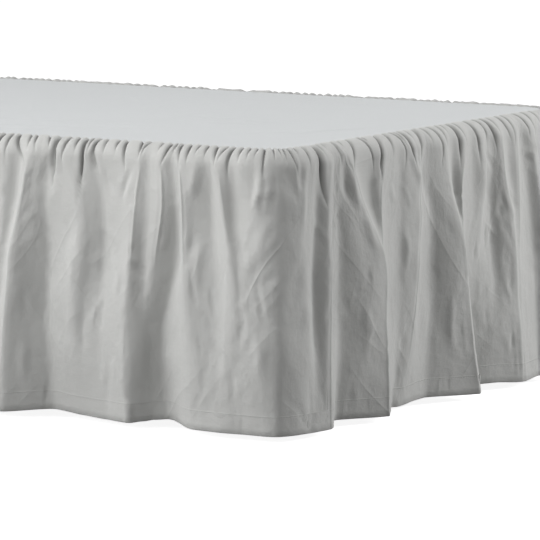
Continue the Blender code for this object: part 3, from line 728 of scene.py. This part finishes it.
def crease_relief(points, place, run):
    """Height of the creases: a groove (or ridge) round each path laid on the cloth, softly swelled beside.

    Across a crease of half width w the height is
    -depth * (exp(-(d / w)**2) - SWELL_SHARE * exp(-(d / (SWELL_WIDTH * w))**2)), where d is the distance in
    space from the path, and it fades towards both ends of the path.
    """
    relief = np.zeros(place.shape)
    columns = np.arange(len(place))
    for crease in all_creases():
        knots = np.array(crease.path, float) * MM
        ways = np.linspace(0, len(knots) - 1, CREASE_STEPS * len(knots))
        path_place = np.interp(ways, np.arange(len(knots)), knots[:, 0])
        path_height = np.interp(ways, np.arange(len(knots)), knots[:, 1])
        path_run = CLOTH_RUN - (path_height - HEM_HEIGHT)
        rows = np.clip(np.searchsorted(run, path_run), 1, len(run) - 1)
        column = np.array([np.interp(p, place[:, r], columns) for p, r in zip(path_place, rows)])
        part = (path_run - run[rows - 1]) / (run[rows] - run[rows - 1])
        left = column.astype(int)
        on_right = (column - left)[:, None]
        upper = points[left, rows - 1] * (1 - on_right) + points[left + 1, rows - 1] * on_right
        lower = points[left, rows] * (1 - on_right) + points[left + 1, rows] * on_right
        path = upper + (lower - upper) * part[:, None]
        width = crease.width * MM
        margin = CREASE_MARGIN * width
        near = np.all((points > path.min(0) - margin) & (points < path.max(0) + margin), axis=-1)
        way, distance = nearest_on_path(points[near], path)
        d = distance / width
        height = np.exp(-(d**2)) - SWELL_SHARE * np.exp(-((d / SWELL_WIDTH) ** 2))
        relief[near] -= crease.depth * MM * height * faded_ends(way, CREASE_FADE)
    return relief


def dent_relief(length, run):
    """Height of the shallow dents: a sum of tilted bells exp(-(u**2 + v**2)), in or out at random.

    u is the distance across a bell over its width, and v the distance along it over its length.
    """
    rng = np.random.default_rng(DENT_SEED)
    relief = np.zeros((len(length), len(run)))
    for _ in range(DENTS):
        middle = rng.uniform(0, length[-1])
        down = rng.uniform(ROLL_START + ROLL_LENGTH, CLOTH_RUN)
        reach, width = rng.uniform(*DENT_LENGTH), rng.uniform(*DENT_WIDTH)
        turn = rng.normal(0, DENT_LEAN)
        depth = rng.uniform(DENT_LEAST, 1) * rng.choice((-1, 1)) * DENT_DEPTH
        near = slice_within(length, middle - DENT_MARGIN * reach, middle + DENT_MARGIN * reach)
        across = length[near, None] - middle
        along = run[None, :] - down
        u = (across * math.cos(turn) + along * math.sin(turn)) / width
        v = (along * math.cos(turn) - across * math.sin(turn)) / reach
        relief[near] += depth * np.exp(-(u * u) - v * v)
    return relief * smooth_step((run - ROLL_START) / ROLL_LENGTH)


def ruffle_surface(settings):
    """Points of the ruffle's face and its hem's turn, columns by rows, their UV in metres, and their painted
    groove shade.

    The folds' surface (a place and an out at each point, as in fold_way, over the plain profile) is moved
    along its own normal by the gathers, rims, creases and dents, which leave LEAST_CLEARANCE from the base.
    U is the cloth's length along the ruffle, and V its height over the hem's lowest edge.
    """
    places, outs, lifts, rims = all_folds()
    gather_places, gather_sizes = all_gathers()
    t = np.linspace(0, 1, ROWS)
    run = CLOTH_RUN * (ROW_START * t + (1 - ROW_START) * t**ROW_GROWTH)
    profile_out, height, angle, share = cloth_profile(run)
    fine_places = np.concatenate([gather_places[:, 0], places[rims[:, 0] > 0, 0]])
    ways = ruffle_ways(places, outs, fine_places)
    paths = gather_paths(gather_places, gather_sizes[:, 0], run)
    places = kept_apart(down_the_drop(places, share), LINE_GAP)
    outs = down_the_drop(outs, share)
    ways = follow_gathers(ways, places, paths, run < gather_sizes[:, :1])
    line, place, out = fold_way(places, outs, share, ways)
    wave = (1 - np.cos(math.pi * (ways - line))) / 2
    lift = lifts[line] + (lifts[line + 1] - lifts[line]) * wave
    x, y, _, _ = edge_point(place, profile_out + out * (2 * angle / math.pi) ** FOLD_START)
    points = np.stack([x, y, height + lift * share**2], axis=-1)
    normals = unit_normals(points)

    steps = np.linalg.norm(np.diff(points, axis=0), axis=-1)
    middle_row = np.searchsorted(share, 0.5)
    length = np.concatenate([[0], np.cumsum(steps[:, middle_row])])
    stretch = np.linalg.norm(np.gradient(points, axis=0), axis=-1) / np.gradient(place, axis=0)
    relief, groove = gather_relief(place, stretch, run, paths, gather_sizes)
    relief *= settings.gather_depth
    relief += settings.crease_depth * rim_relief(place, stretch, share, places, rims)
    relief += settings.crease_depth * crease_relief(points, place, run)
    relief += settings.crease_depth * dent_relief(length, run)
    clearance = np.interp(run, (0, ROLL_START), (SEAM_HEIGHT, ROLL_RISE))
    clearance = clearance + out * (2 * angle / math.pi) ** FOLD_START
    relief = np.maximum(relief, LEAST_CLEARANCE - clearance)
    points += normals * relief[..., None]

    inward = -unit_normals(points)[:, -1]
    inward[:, 2] = 0
    inward /= np.linalg.norm(inward, axis=-1, keepdims=True)
    edge = points[:, -1]
    points[:, -1, 2] += HEM_FOLD_RISE
    turned = []
    for row in HEM_ROWS:
        turn = edge + inward * row.inward * MM
        turn[:, 2] = edge[:, 2] - HEM_FOLD_RISE + row.height * MM
        turned.append(turn)
    points = np.concatenate([points, np.stack(turned, axis=1)], axis=1)
    v = np.concatenate([CLOTH_RUN - run, [-row.height * MM for row in HEM_ROWS]])
    uv = np.stack(np.broadcast_arrays(length[:, None], v[None, :]), axis=-1)
    return points, uv, np.pad(groove, ((0, 0), (0, len(HEM_ROWS))))


def new_object(name, data):
    """An object in the scene that shows the given mesh, light or camera."""
    made = bpy.data.objects.new(name, data)
    bpy.context.scene.collection.objects.link(made)
    return made


def grid_object(name, points, uv):
    """A mesh object from a grid of points, one four-sided face between neighbours, smooth, with a UV map."""
    columns, rows = points.shape[:2]
    first = (np.arange(columns - 1)[:, None] * rows + np.arange(rows - 1)).ravel()
    corners = np.stack([first, first + 1, first + rows + 1, first + rows], axis=-1).ravel().astype(np.int32)
    mesh = bpy.data.meshes.new(name)
    mesh.vertices.add(columns * rows)
    mesh.vertices.foreach_set("co", points.astype(np.float32).ravel())
    mesh.loops.add(len(corners))
    mesh.loops.foreach_set("vertex_index", corners)
    mesh.polygons.add(len(first))
    mesh.polygons.foreach_set("loop_start", np.arange(len(first), dtype=np.int32) * 4)
    layer = mesh.uv_layers.new(name="cloth")
    layer.data.foreach_set("uv", uv.reshape(-1, 2)[corners].astype(np.float32).ravel())
    mesh.update(calc_edges=True)
    mesh.validate()
    mesh.shade_smooth()
    return new_object(name, mesh)


def deck_surface():
    """Points and UV of the deck: a flat rounded rectangle whose edge swells a little along the seam.

    Each line along the bed runs as far as the round corners leave room. The height is a swell that falls off
    from the seam inwards as exp(-(inset / reach)**2), ripples that the gathers pull into it, a sine along the
    seam that falls off likewise, and the long tension wrinkles, each height * exp(-(distance / width)**2).
    """
    half_length = BED_LENGTH / 2 - SEAM_INSET + DECK_TUCK
    half_width = BED_WIDTH / 2 - SEAM_INSET + DECK_TUCK
    radius = CORNER_RADIUS - SEAM_INSET + DECK_TUCK
    a = np.sin(np.linspace(-1, 1, DECK_COLUMNS) * math.pi / 2)[:, None]
    b = np.sin(np.linspace(1, -1, DECK_ROWS) * math.pi / 2)[None, :]
    y = half_width * b
    over = np.maximum(np.abs(y) - half_width + radius, 0)
    x = a * (half_length - radius + np.sqrt(np.maximum(radius**2 - over**2, 0)))
    y = y + 0 * x
    past_x = np.abs(x) - half_length + radius
    past_y = np.abs(y) - half_width + radius
    outside = np.hypot(np.maximum(past_x, 0), np.maximum(past_y, 0))
    inset = np.maximum(radius - outside - np.minimum(np.maximum(past_x, past_y), 0), 0)
    rise = smooth_step(inset / DECK_EDGE)
    swell = DECK_SWELL_LEFT + (1 - DECK_SWELL_LEFT) * np.exp(-((inset / DECK_SWELL_REACH) ** 2))
    height = BED_TOP + DECK_EDGE_HEIGHT + rise * (DECK_LIFT + DECK_SWELL * swell)
    along = np.where(past_x > past_y, y, x)
    sway, sway_turn = DECK_RIPPLE_SWAY
    pull = np.sin(along / DECK_RIPPLE * 2 * math.pi + sway * np.sin(along * sway_turn))
    height += rise * DECK_RIPPLE_HEIGHT * pull * np.exp(-((inset / DECK_RIPPLE_REACH) ** 2))
    plan = np.stack([x, y], axis=-1)
    for wrinkle in DECK_WRINKLES:
        way, distance = nearest_on_path(plan.reshape(-1, 2), np.array([wrinkle.start, wrinkle.end]) * MM)
        raised = faded_ends(way, WRINKLE_FADE) * np.exp(-((distance / (wrinkle.width * MM)) ** 2))
        height += wrinkle.height * MM * raised.reshape(height.shape)
    return np.stack([x + BED_MIDDLE, y, height], axis=-1), plan


def add_node(tree, kind, inputs=None, **settings):
    """A new shader node with its settings and, by socket name or number, its inputs.

    An input is a socket, which is linked, or a value.
    """
    made = tree.nodes.new(f"ShaderNode{kind}")
    for name, value in settings.items():
        setattr(made, name, value)
    for name, value in (inputs or {}).items():
        if isinstance(value, bpy.types.NodeSocket):
            tree.links.new(value, made.inputs[name])
        else:
            made.inputs[name].default_value = value
    return made


def maths(tree, operation, *values):
    """The output of a Math node."""
    return add_node(tree, "Math", dict(enumerate(values)), operation=operation).outputs[0]


def times(tree, first, second):
    return maths(tree, "MULTIPLY", first, second)


def plus(tree, first, second):
    return maths(tree, "ADD", first, second)


def weighed(tree, *terms):
    """Sum of two values, each given with the weight that it is multiplied by."""
    return plus(tree, *(times(tree, value, weight) for value, weight in terms))


def scaled(tree, vector, scale):
    """A vector multiplied part by part, so that a noise on it is drawn out where the part is small."""
    return add_node(tree, "VectorMath", {0: vector, 1: scale}, operation="MULTIPLY").outputs[0]


def noise(tree, vector, scale, detail=2.0):
    """The value of a Noise Texture node."""
    values = {"Vector": vector, "Scale": scale, "Detail": detail}
    return add_node(tree, "TexNoise", values).outputs[0]


def blend(tree, factor, first, second):
    """The colour that goes from the first to the second as the factor goes from 0 to 1."""
    values = {"Factor": factor, "A": first, "B": second}
    made = add_node(tree, "Mix", None, data_type="RGBA")
    for name, value in values.items():
        socket = next(s for s in made.inputs if s.name == name and s.enabled)
        if isinstance(value, bpy.types.NodeSocket):
            tree.links.new(value, socket)
        else:
            socket.default_value = value
    return next(s for s in made.outputs if s.enabled)


def new_group(name, inputs, outputs):
    """An empty shader node group with float inputs (a name and a default) and outputs, after one Vector."""
    group = bpy.data.node_groups.new(name, "ShaderNodeTree")
    group.interface.new_socket("Vector", in_out="INPUT", socket_type="NodeSocketVector")
    for label, default in inputs:
        socket = group.interface.new_socket(label, in_out="INPUT", socket_type="NodeSocketFloat")
        socket.default_value = default
    for label in outputs:
        group.interface.new_socket(label, in_out="OUTPUT", socket_type="NodeSocketFloat")
    return group, group.nodes.new("NodeGroupInput"), group.nodes.new("NodeGroupOutput")


def weave_group():
    """Plain weave: over and under as sin(u) * sin(v), with slubs drawn out along both thread directions."""
    group, source, result = new_group("plain weave", (("Thread", 0.0006),), ("Height", "Slub"))
    vector = source.outputs["Vector"]
    parts = add_node(group, "SeparateXYZ", {0: vector})
    turn = maths(group, "DIVIDE", math.pi, source.outputs["Thread"])
    waves = [maths(group, "SINE", times(group, parts.outputs[n], turn)) for n in (0, 1)]
    over = times(group, *waves)
    warp, weft = (noise(group, scaled(group, vector, drawn), 1.0) for drawn in SLUBS)
    slub = times(group, plus(group, warp, weft), 0.5)
    height = plus(group, times(group, over, WEAVE_SHARE), slub)
    group.links.new(height, result.inputs["Height"])
    group.links.new(slub, result.inputs["Slub"])
    return group


def crease_lines(tree, vector, angle, scale):
    """Long thin lines across one direction, where a drawn-out noise crosses its middle value:
    (1 - 2 * |noise - 0.5|) ** 12.
    """
    values = {"Vector": vector, "Angle": angle}
    turned = add_node(tree, "VectorRotate", values, rotation_type="Z_AXIS").outputs[0]
    lines = noise(tree, scaled(tree, turned, (1, 0.2, 1)), scale, 1.0)
    away = maths(tree, "ABSOLUTE", maths(tree, "SUBTRACT", lines, 0.5))
    return maths(tree, "POWER", maths(tree, "SUBTRACT", 1.0, times(tree, away, 2.0)), 12.0)


def wrinkle_group():
    """Fine crumples: two soft noises, drawn out down the cloth, and patches of thin slanting creases."""
    group, source, result = new_group("fine wrinkles", (("Scale", 30.0),), ("Height",))
    vector = source.outputs["Vector"]
    broad = noise(group, scaled(group, vector, (1, 0.5, 1)), source.outputs["Scale"], 4.0)
    fine = noise(group, vector, times(group, source.outputs["Scale"], FINE_SCALE), 3.0)
    height = weighed(group, (broad, BROAD_SHARE), (fine, FINE_SHARE))
    for angle, scale, patches in LINE_PATCHES:
        lines = crease_lines(group, vector, angle, scale)
        over = maths(group, "SUBTRACT", noise(group, vector, patches), PATCH_LEVEL)
        lines = times(group, lines, maths(group, "MAXIMUM", over, 0.0))
        height = plus(group, height, times(group, lines, LINE_SHARE))
    group.links.new(height, result.inputs["Height"])
    return group


SHARED_GROUPS = {"plain weave": weave_group, "fine wrinkles": wrinkle_group}


def group_node(tree, group, vector, **values):
    """A node of a shared group, which is built the first time that a material asks for it."""
    group_tree = bpy.data.node_groups.get(group) or SHARED_GROUPS[group]()
    return add_node(tree, "Group", {"Vector": vector, **values}, node_tree=group_tree)


def new_material(name, roughness, sheen=0.0):
    """A material, its node tree and its Principled BSDF."""
    made = bpy.data.materials.new(name)
    made.use_nodes = True
    shader = made.node_tree.nodes["Principled BSDF"]
    shader.inputs["Roughness"].default_value = roughness
    shader.inputs["Sheen Weight"].default_value = sheen
    return made, made.node_tree, shader


def bump(tree, height, distance, normal=None):
    """The normal of a Bump node of the given height in metres, on top of another bump where one is given."""
    values = {"Height": height, "Distance": distance, "Strength": 1.0}
    if normal is not None:
        values["Normal"] = normal
    return add_node(tree, "Bump", values).outputs["Normal"]


def darker(colour, share):
    """A share of a colour, still opaque."""
    return (*[share * part for part in colour[:3]], 1.0)


def cotton_material(name, light, dark, thread, wrinkle):
    """Woven cotton on the cloth's UV map: two tones by slub and mottle, weave and wrinkles as bump."""
    made, tree, shader = new_material(name, roughness=0.88, sheen=0.25)
    shader.inputs["Sheen Roughness"].default_value = 0.45
    vector = add_node(tree, "UVMap", None, uv_map="cloth").outputs["UV"]
    weave = group_node(tree, "plain weave", vector, Thread=thread)
    wrinkles = group_node(tree, "fine wrinkles", vector, Scale=WRINKLE_SCALE)
    tone = weighed(tree, (noise(tree, vector, scale=7.0, detail=4.0), 0.5), (weave.outputs["Slub"], 0.5))
    normal = bump(tree, wrinkles.outputs["Height"], wrinkle)
    normal = bump(tree, weave.outputs["Height"], WEAVE_HEIGHT, normal)
    tree.links.new(blend(tree, tone, dark, light), shader.inputs["Base Color"])
    tree.links.new(normal, shader.inputs["Normal"])
    return made


def add_groove_shade_and_hem(made, dark):
    """Puts painted shade into the bottoms of the ruffle's grooves, and its hem with stitches, on its cotton.
    dark groove bottoms, and the hem with its stitches.

    The doubled cloth stands out up to HEM_DEPTH, where a row of stitches holds it down: thread where
    sin(2 * pi * u / STITCH) is over STITCH_OVER.
    """
    tree = made.node_tree
    shader = tree.nodes["Principled BSDF"]
    colour, normal = (shader.inputs[name].links[0].from_socket for name in ("Base Color", "Normal"))
    vector = add_node(tree, "UVMap", None, uv_map="cloth").outputs["UV"]
    # Painted shade: the cloth is blended darker towards the bottoms of the grooves, by the mesh attribute
    groove = add_node(tree, "Attribute", None, attribute_name="groove").outputs["Fac"]
    deep = times(tree, groove, GROOVE_SHADE)
    colour = blend(tree, deep, colour, darker(dark, GROOVE_SHADE_DARK))
    parts = add_node(tree, "SeparateXYZ", {0: vector})
    along, up = parts.outputs[0], parts.outputs[1]
    doubled = add_node(tree, "MapRange", {
        "Value": up, "From Min": HEM_DEPTH, "From Max": HEM_DEPTH + HEM_STEP, "To Min": 1.0, "To Max": 0.0,
    }, interpolation_type="SMOOTHSTEP").outputs[0]
    line = maths(tree, "COMPARE", up, HEM_DEPTH - STITCH_INSET, STITCH_HALF)
    beat = maths(tree, "SINE", times(tree, along, 2 * math.pi / STITCH))
    stitch = times(tree, line, maths(tree, "GREATER_THAN", beat, STITCH_OVER))
    height = weighed(tree, (doubled, HEM_SHARE), (stitch, -STITCH_SHARE))
    shade = times(tree, stitch, STITCH_SHADE)
    colour = blend(tree, shade, colour, darker(dark, STITCH_DARK))
    tree.links.new(colour, shader.inputs["Base Color"])
    tree.links.new(bump(tree, height, HEM_RELIEF, normal), shader.inputs["Normal"])


def cover_material(name, light, dark):
    """The base's plain cover cloth: the same weave, coarser, on object coordinates."""
    made, tree, shader = new_material(name, roughness=0.92, sheen=0.1)
    vector = add_node(tree, "TexCoord").outputs["Object"]
    parts = add_node(tree, "SeparateXYZ", {0: vector})
    along = plus(tree, parts.outputs[0], parts.outputs[1])
    across = plus(tree, parts.outputs[2], parts.outputs[1])
    cloth = add_node(tree, "CombineXYZ", {0: along, 1: across}).outputs[0]
    weave = group_node(tree, "plain weave", cloth, Thread=COVER_THREAD)
    tone = weighed(tree, (noise(tree, vector, scale=5.0, detail=4.0), 0.6), (weave.outputs["Slub"], 0.4))
    tree.links.new(blend(tree, tone, dark, light), shader.inputs["Base Color"])
    tree.links.new(bump(tree, weave.outputs["Height"], COVER_HEIGHT), shader.inputs["Normal"])
    return made


def wood_material(name, light, dark):
    """Turned wood: grain as noise drawn out along the leg, with growth rings as a wave bent by noise."""
    made, tree, shader = new_material(name, roughness=0.45)
    vector = add_node(tree, "TexCoord").outputs["Object"]
    grain = noise(tree, scaled(tree, vector, (160, 160, 6)), scale=1.0, detail=6.0)
    rings = add_node(tree, "TexWave", {
        "Vector": scaled(tree, vector, (1, 1, 0.12)), "Scale": 34.0, "Distortion": 5.0, "Detail": 3.0,
        "Detail Scale": 1.4,
    }, bands_direction="DIAGONAL").outputs[0]
    tone = weighed(tree, (grain, 0.55), (rings, 0.45))
    tree.links.new(blend(tree, tone, dark, light), shader.inputs["Base Color"])
    rough = add_node(tree, "MapRange", {"Value": grain, "To Min": 0.38, "To Max": 0.56}).outputs[0]
    tree.links.new(rough, shader.inputs["Roughness"])
    tree.links.new(bump(tree, grain, GRAIN_HEIGHT), shader.inputs["Normal"])
    return made


def put_in_frame(piece, finish, node):
    """Gives a piece its finish, hangs it on the frame's root body, and hides the frame's node that it stands
    in for.
    """
    piece.data.materials.append(finish)
    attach(piece, "root")
    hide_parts(node)


def refinish(node, finish):
    """Gives a carried-over node of the frame a finish, without touching its mesh."""
    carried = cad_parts[node]
    for holder in carried.material_slots:
        holder.link = "OBJECT"
        holder.material = finish


def colour_setting(name, description, colour):
    return bpy.props.FloatVectorProperty(
        name=name, description=description, subtype="COLOR", size=4, min=0, max=1, default=(*colour, 1.0))


def depth_setting(name, what):
    return bpy.props.FloatProperty(
        name=name, description=f"How deep the {what} are, as a share of their own depths",
        subtype="FACTOR", min=0, max=1.5, default=1.0)


def power_setting(name, place, watts):
    return bpy.props.FloatProperty(
        name=name, description=f"Power of the soft light {place}", unit="POWER", min=0, default=watts)


class ClothSettings(bpy.types.PropertyGroup):
    light_colour: colour_setting(
        "Light Colour", "Lighter tone of the ruffle's cotton", (0.60, 0.60, 0.585))
    dark_colour: colour_setting(
        "Dark Colour", "Darker tone of the ruffle's cotton", (0.52, 0.525, 0.51))
    deck_light_colour: colour_setting(
        "Deck Light Colour", "Lighter tone of the deck panel", (0.565, 0.585, 0.592))
    deck_dark_colour: colour_setting(
        "Deck Dark Colour", "Darker tone of the deck panel", (0.515, 0.535, 0.542))
    thread: bpy.props.FloatProperty(
        name="Thread", description="Distance between two threads of the weave", unit="LENGTH",
        min=0.0002, max=0.005, precision=4, default=0.0006)
    gather_depth: depth_setting("Gathers", "gathers")
    crease_depth: depth_setting("Creases", "creases and dents")


class BedSettings(bpy.types.PropertyGroup):
    cover_light_colour: colour_setting(
        "Cover Light Colour", "Lighter tone of the base's cover cloth", (0.66, 0.64, 0.60))
    cover_dark_colour: colour_setting(
        "Cover Dark Colour", "Darker tone of the base's cover cloth", (0.54, 0.52, 0.48))
    wood_light_colour: colour_setting(
        "Wood Light Colour", "Lighter tone of the legs' wood", (0.56, 0.37, 0.20))
    wood_dark_colour: colour_setting(
        "Wood Dark Colour", "Darker tone of the legs' wood", (0.33, 0.19, 0.09))


class StageSettings(bpy.types.PropertyGroup):
    key_power: power_setting("Key Light", "beside the long side", 198.0)
    foot_power: power_setting("Foot Light", "beside the foot end", 96.0)
    fill_power: power_setting("Fill Light", "in front", 12.0)
    top_power: power_setting("Top Light", "over the long side", 48.0)
    ambient: bpy.props.FloatProperty(
        name="Surrounding Light", description="Strength of the white light from all round", min=0,
        default=0.19)
    floor_colour: colour_setting("Floor Colour", "Colour of the pale floor", (0.86, 0.86, 0.86))


class BEDSKIRT_OT_ruffle(bpy.types.Operator):
    """Build the gathered ruffle in place of the frame's plain one"""

    bl_idname = "bedskirt.ruffle"
    bl_label = "Build Ruffle"

    def execute(self, context):
        settings = context.scene.bed_skirt_cloth
        points, uv, groove = ruffle_surface(settings)
        piece = grid_object("ruffle_cloth", points, uv)
        # painted shade of the grooves, handed to the material as a mesh attribute
        layer = piece.data.attributes.new("groove", "FLOAT", "POINT")
        layer.data.foreach_set("value", groove.astype(np.float32).ravel())
        finish = cotton_material(
            "ruffle cotton", settings.light_colour, settings.dark_colour, settings.thread, RUFFLE_WRINKLE)
        add_groove_shade_and_hem(finish, settings.dark_colour)
        put_in_frame(piece, finish, "ruffle")
        return {"FINISHED"}


class BEDSKIRT_OT_deck(bpy.types.Operator):
    """Build the deck panel that lies on the base, in place of the frame's plain one"""

    bl_idname = "bedskirt.deck"
    bl_label = "Build Deck Panel"

    def execute(self, context):
        settings = context.scene.bed_skirt_cloth
        piece = grid_object("deck_cloth", *deck_surface())
        finish = cotton_material(
            "deck cotton", settings.deck_light_colour, settings.deck_dark_colour, settings.thread,
            DECK_WRINKLE)
        put_in_frame(piece, finish, "deck_panel")
        return {"FINISHED"}


class BEDSKIRT_OT_base(bpy.types.Operator):
    """Give the base and its legs their cover cloth and wood"""

    bl_idname = "bedskirt.base"
    bl_label = "Finish Base and Legs"

    def execute(self, context):
        settings = context.scene.bed_skirt_bed
        refinish("bed_base", cover_material(
            "base cover", settings.cover_light_colour, settings.cover_dark_colour))
        wood = wood_material("leg wood", settings.wood_light_colour, settings.wood_dark_colour)
        for name in sorted(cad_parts):
            if name.startswith("leg_"):
                refinish(name, wood)
        return {"FINISHED"}


class BEDSKIRT_OT_stage(bpy.types.Operator):
    """Set up the pale floor, the soft studio lights and the camera"""

    bl_idname = "bedskirt.stage"
    bl_label = "Set Stage"

    def execute(self, context):
        settings = context.scene.bed_skirt_stage
        add_floor(settings.floor_colour)
        add_surroundings(context.scene, settings.ambient)
        corner = Vector((BASE_HIGH.x, BASE_LOW.y, LIGHT_AIM_HEIGHT))
        for light in LIGHTS:
            add_light(light, getattr(settings, f"{light.name}_power"), corner)
        context.scene.camera = add_camera()
        context.scene.view_settings.view_transform = "Standard"
        return {"FINISHED"}


class BEDSKIRT_PT_panel(bpy.types.Panel):
    """Settings and steps of the bed skirt"""

    bl_idname = "BEDSKIRT_PT_panel"
    bl_label = "Bed Skirt"
    bl_space_type = "VIEW_3D"
    bl_region_type = "UI"
    bl_category = "Bed Skirt"

    def draw(self, context):
        layout = self.layout
        layout.use_property_split = True
        scene = context.scene
        for settings, operators in (
            (scene.bed_skirt_cloth, (BEDSKIRT_OT_ruffle, BEDSKIRT_OT_deck)),
            (scene.bed_skirt_bed, (BEDSKIRT_OT_base,)),
            (scene.bed_skirt_stage, (BEDSKIRT_OT_stage,)),
        ):
            box = layout.box()
            for name in settings.__annotations__:
                box.prop(settings, name)
            for operator in operators:
                box.operator(operator.bl_idname)


def add_floor(colour):
    """A wide flat floor. It looks evenly lit to the camera, and lights the cloth as plain matt paint does."""
    made, tree, shader = new_material("pale floor", roughness=0.95)
    output = tree.nodes["Material Output"]
    vector = add_node(tree, "TexCoord").outputs["Object"]
    tone = blend(tree, noise(tree, vector, scale=3.0, detail=4.0), darker(colour, FLOOR_MOTTLE), colour)
    tree.links.new(tone, shader.inputs["Base Color"])
    glow = add_node(tree, "Emission", {"Color": WHITE, "Strength": FLOOR_GLOW})
    both = add_node(tree, "AddShader", {0: shader.outputs[0], 1: glow.outputs[0]})
    seen = add_node(tree, "LightPath").outputs["Is Camera Ray"]
    dull = add_node(tree, "BsdfDiffuse", {"Color": FLOOR_BOUNCE})
    mixed = add_node(tree, "MixShader", {0: seen, 1: dull.outputs[0], 2: both.outputs[0]})
    tree.links.new(mixed.outputs[0], output.inputs["Surface"])
    half = FLOOR_SIZE / 2
    mesh = bpy.data.meshes.new("floor")
    corners = [(-half, -half, 0), (half, -half, 0), (half, half, 0), (-half, half, 0)]
    mesh.from_pydata(corners, [], [(0, 1, 2, 3)])
    mesh.materials.append(made)
    floor = new_object("floor", mesh)


def add_surroundings(scene, strength):
    """White surroundings: bright behind the object, and softer as light on it."""
    world = bpy.data.worlds.new("studio")
    world.use_nodes = True
    tree = world.node_tree
    tree.nodes.clear()
    soft = add_node(tree, "Background", {"Color": WHITE, "Strength": strength})
    bright = add_node(tree, "Background", {"Color": WHITE, "Strength": 1.0})
    seen = add_node(tree, "LightPath").outputs["Is Camera Ray"]
    mixed = add_node(tree, "MixShader", {0: seen, 1: soft.outputs[0], 2: bright.outputs[0]})
    output = add_node(tree, "OutputWorld")
    tree.links.new(mixed.outputs[0], output.inputs["Surface"])
    scene.world = world


def add_light(light, power, corner):
    """A rectangular soft light, turned towards the base's front foot corner."""
    data = bpy.data.lights.new(f"{light.name} light", "AREA")
    data.shape = "RECTANGLE"
    data.size = light.width
    data.size_y = light.height
    data.energy = power
    made = new_object(data.name, data)
    made.location = light.place
    made.rotation_euler = (corner - made.location).to_track_quat("-Z", "Y").to_euler()


def add_camera():
    """The camera, aimed past the base's front foot corner from the foot end's side."""
    turn, rise = math.radians(CAMERA_AZIMUTH), math.radians(CAMERA_ELEVATION)
    back = Vector((math.sin(turn) * math.cos(rise), -math.cos(turn) * math.cos(rise), math.sin(rise)))
    right = Vector((math.cos(turn), math.sin(turn), 0))
    axes = Matrix((right, back.cross(right), back)).transposed().to_4x4()
    target = Vector((BASE_HIGH.x, BASE_LOW.y, CAMERA_AIM_HEIGHT))
    data = bpy.data.cameras.new("camera")
    data.lens = CAMERA_LENS
    data.sensor_width = CAMERA_SENSOR
    data.shift_x, data.shift_y = CAMERA_SHIFT
    data.clip_end = 100
    made = new_object("camera", data)
    made.matrix_world = Matrix.Translation(target + back * CAMERA_DISTANCE) @ axes
    return made


SETTINGS = (
    ("bed_skirt_cloth", ClothSettings),
    ("bed_skirt_bed", BedSettings),
    ("bed_skirt_stage", StageSettings),
)
OPERATORS = (BEDSKIRT_OT_ruffle, BEDSKIRT_OT_deck, BEDSKIRT_OT_base, BEDSKIRT_OT_stage)


def register():
    for name, group in SETTINGS:
        bpy.utils.register_class(group)
        setattr(bpy.types.Scene, name, bpy.props.PointerProperty(type=group))
    for operator in OPERATORS:
        bpy.utils.register_class(operator)
    bpy.utils.register_class(BEDSKIRT_PT_panel)


def unregister():
    bpy.utils.unregister_class(BEDSKIRT_PT_panel)
    for operator in reversed(OPERATORS):
        bpy.utils.unregister_class(operator)
    for name, group in reversed(SETTINGS):
        delattr(bpy.types.Scene, name)
        bpy.utils.unregister_class(group)


def main():
    register()
    bpy.ops.bedskirt.ruffle()
    bpy.ops.bedskirt.deck()
    bpy.ops.bedskirt.base()
    bpy.ops.bedskirt.stage()


if __name__ == "__main__":
    main()
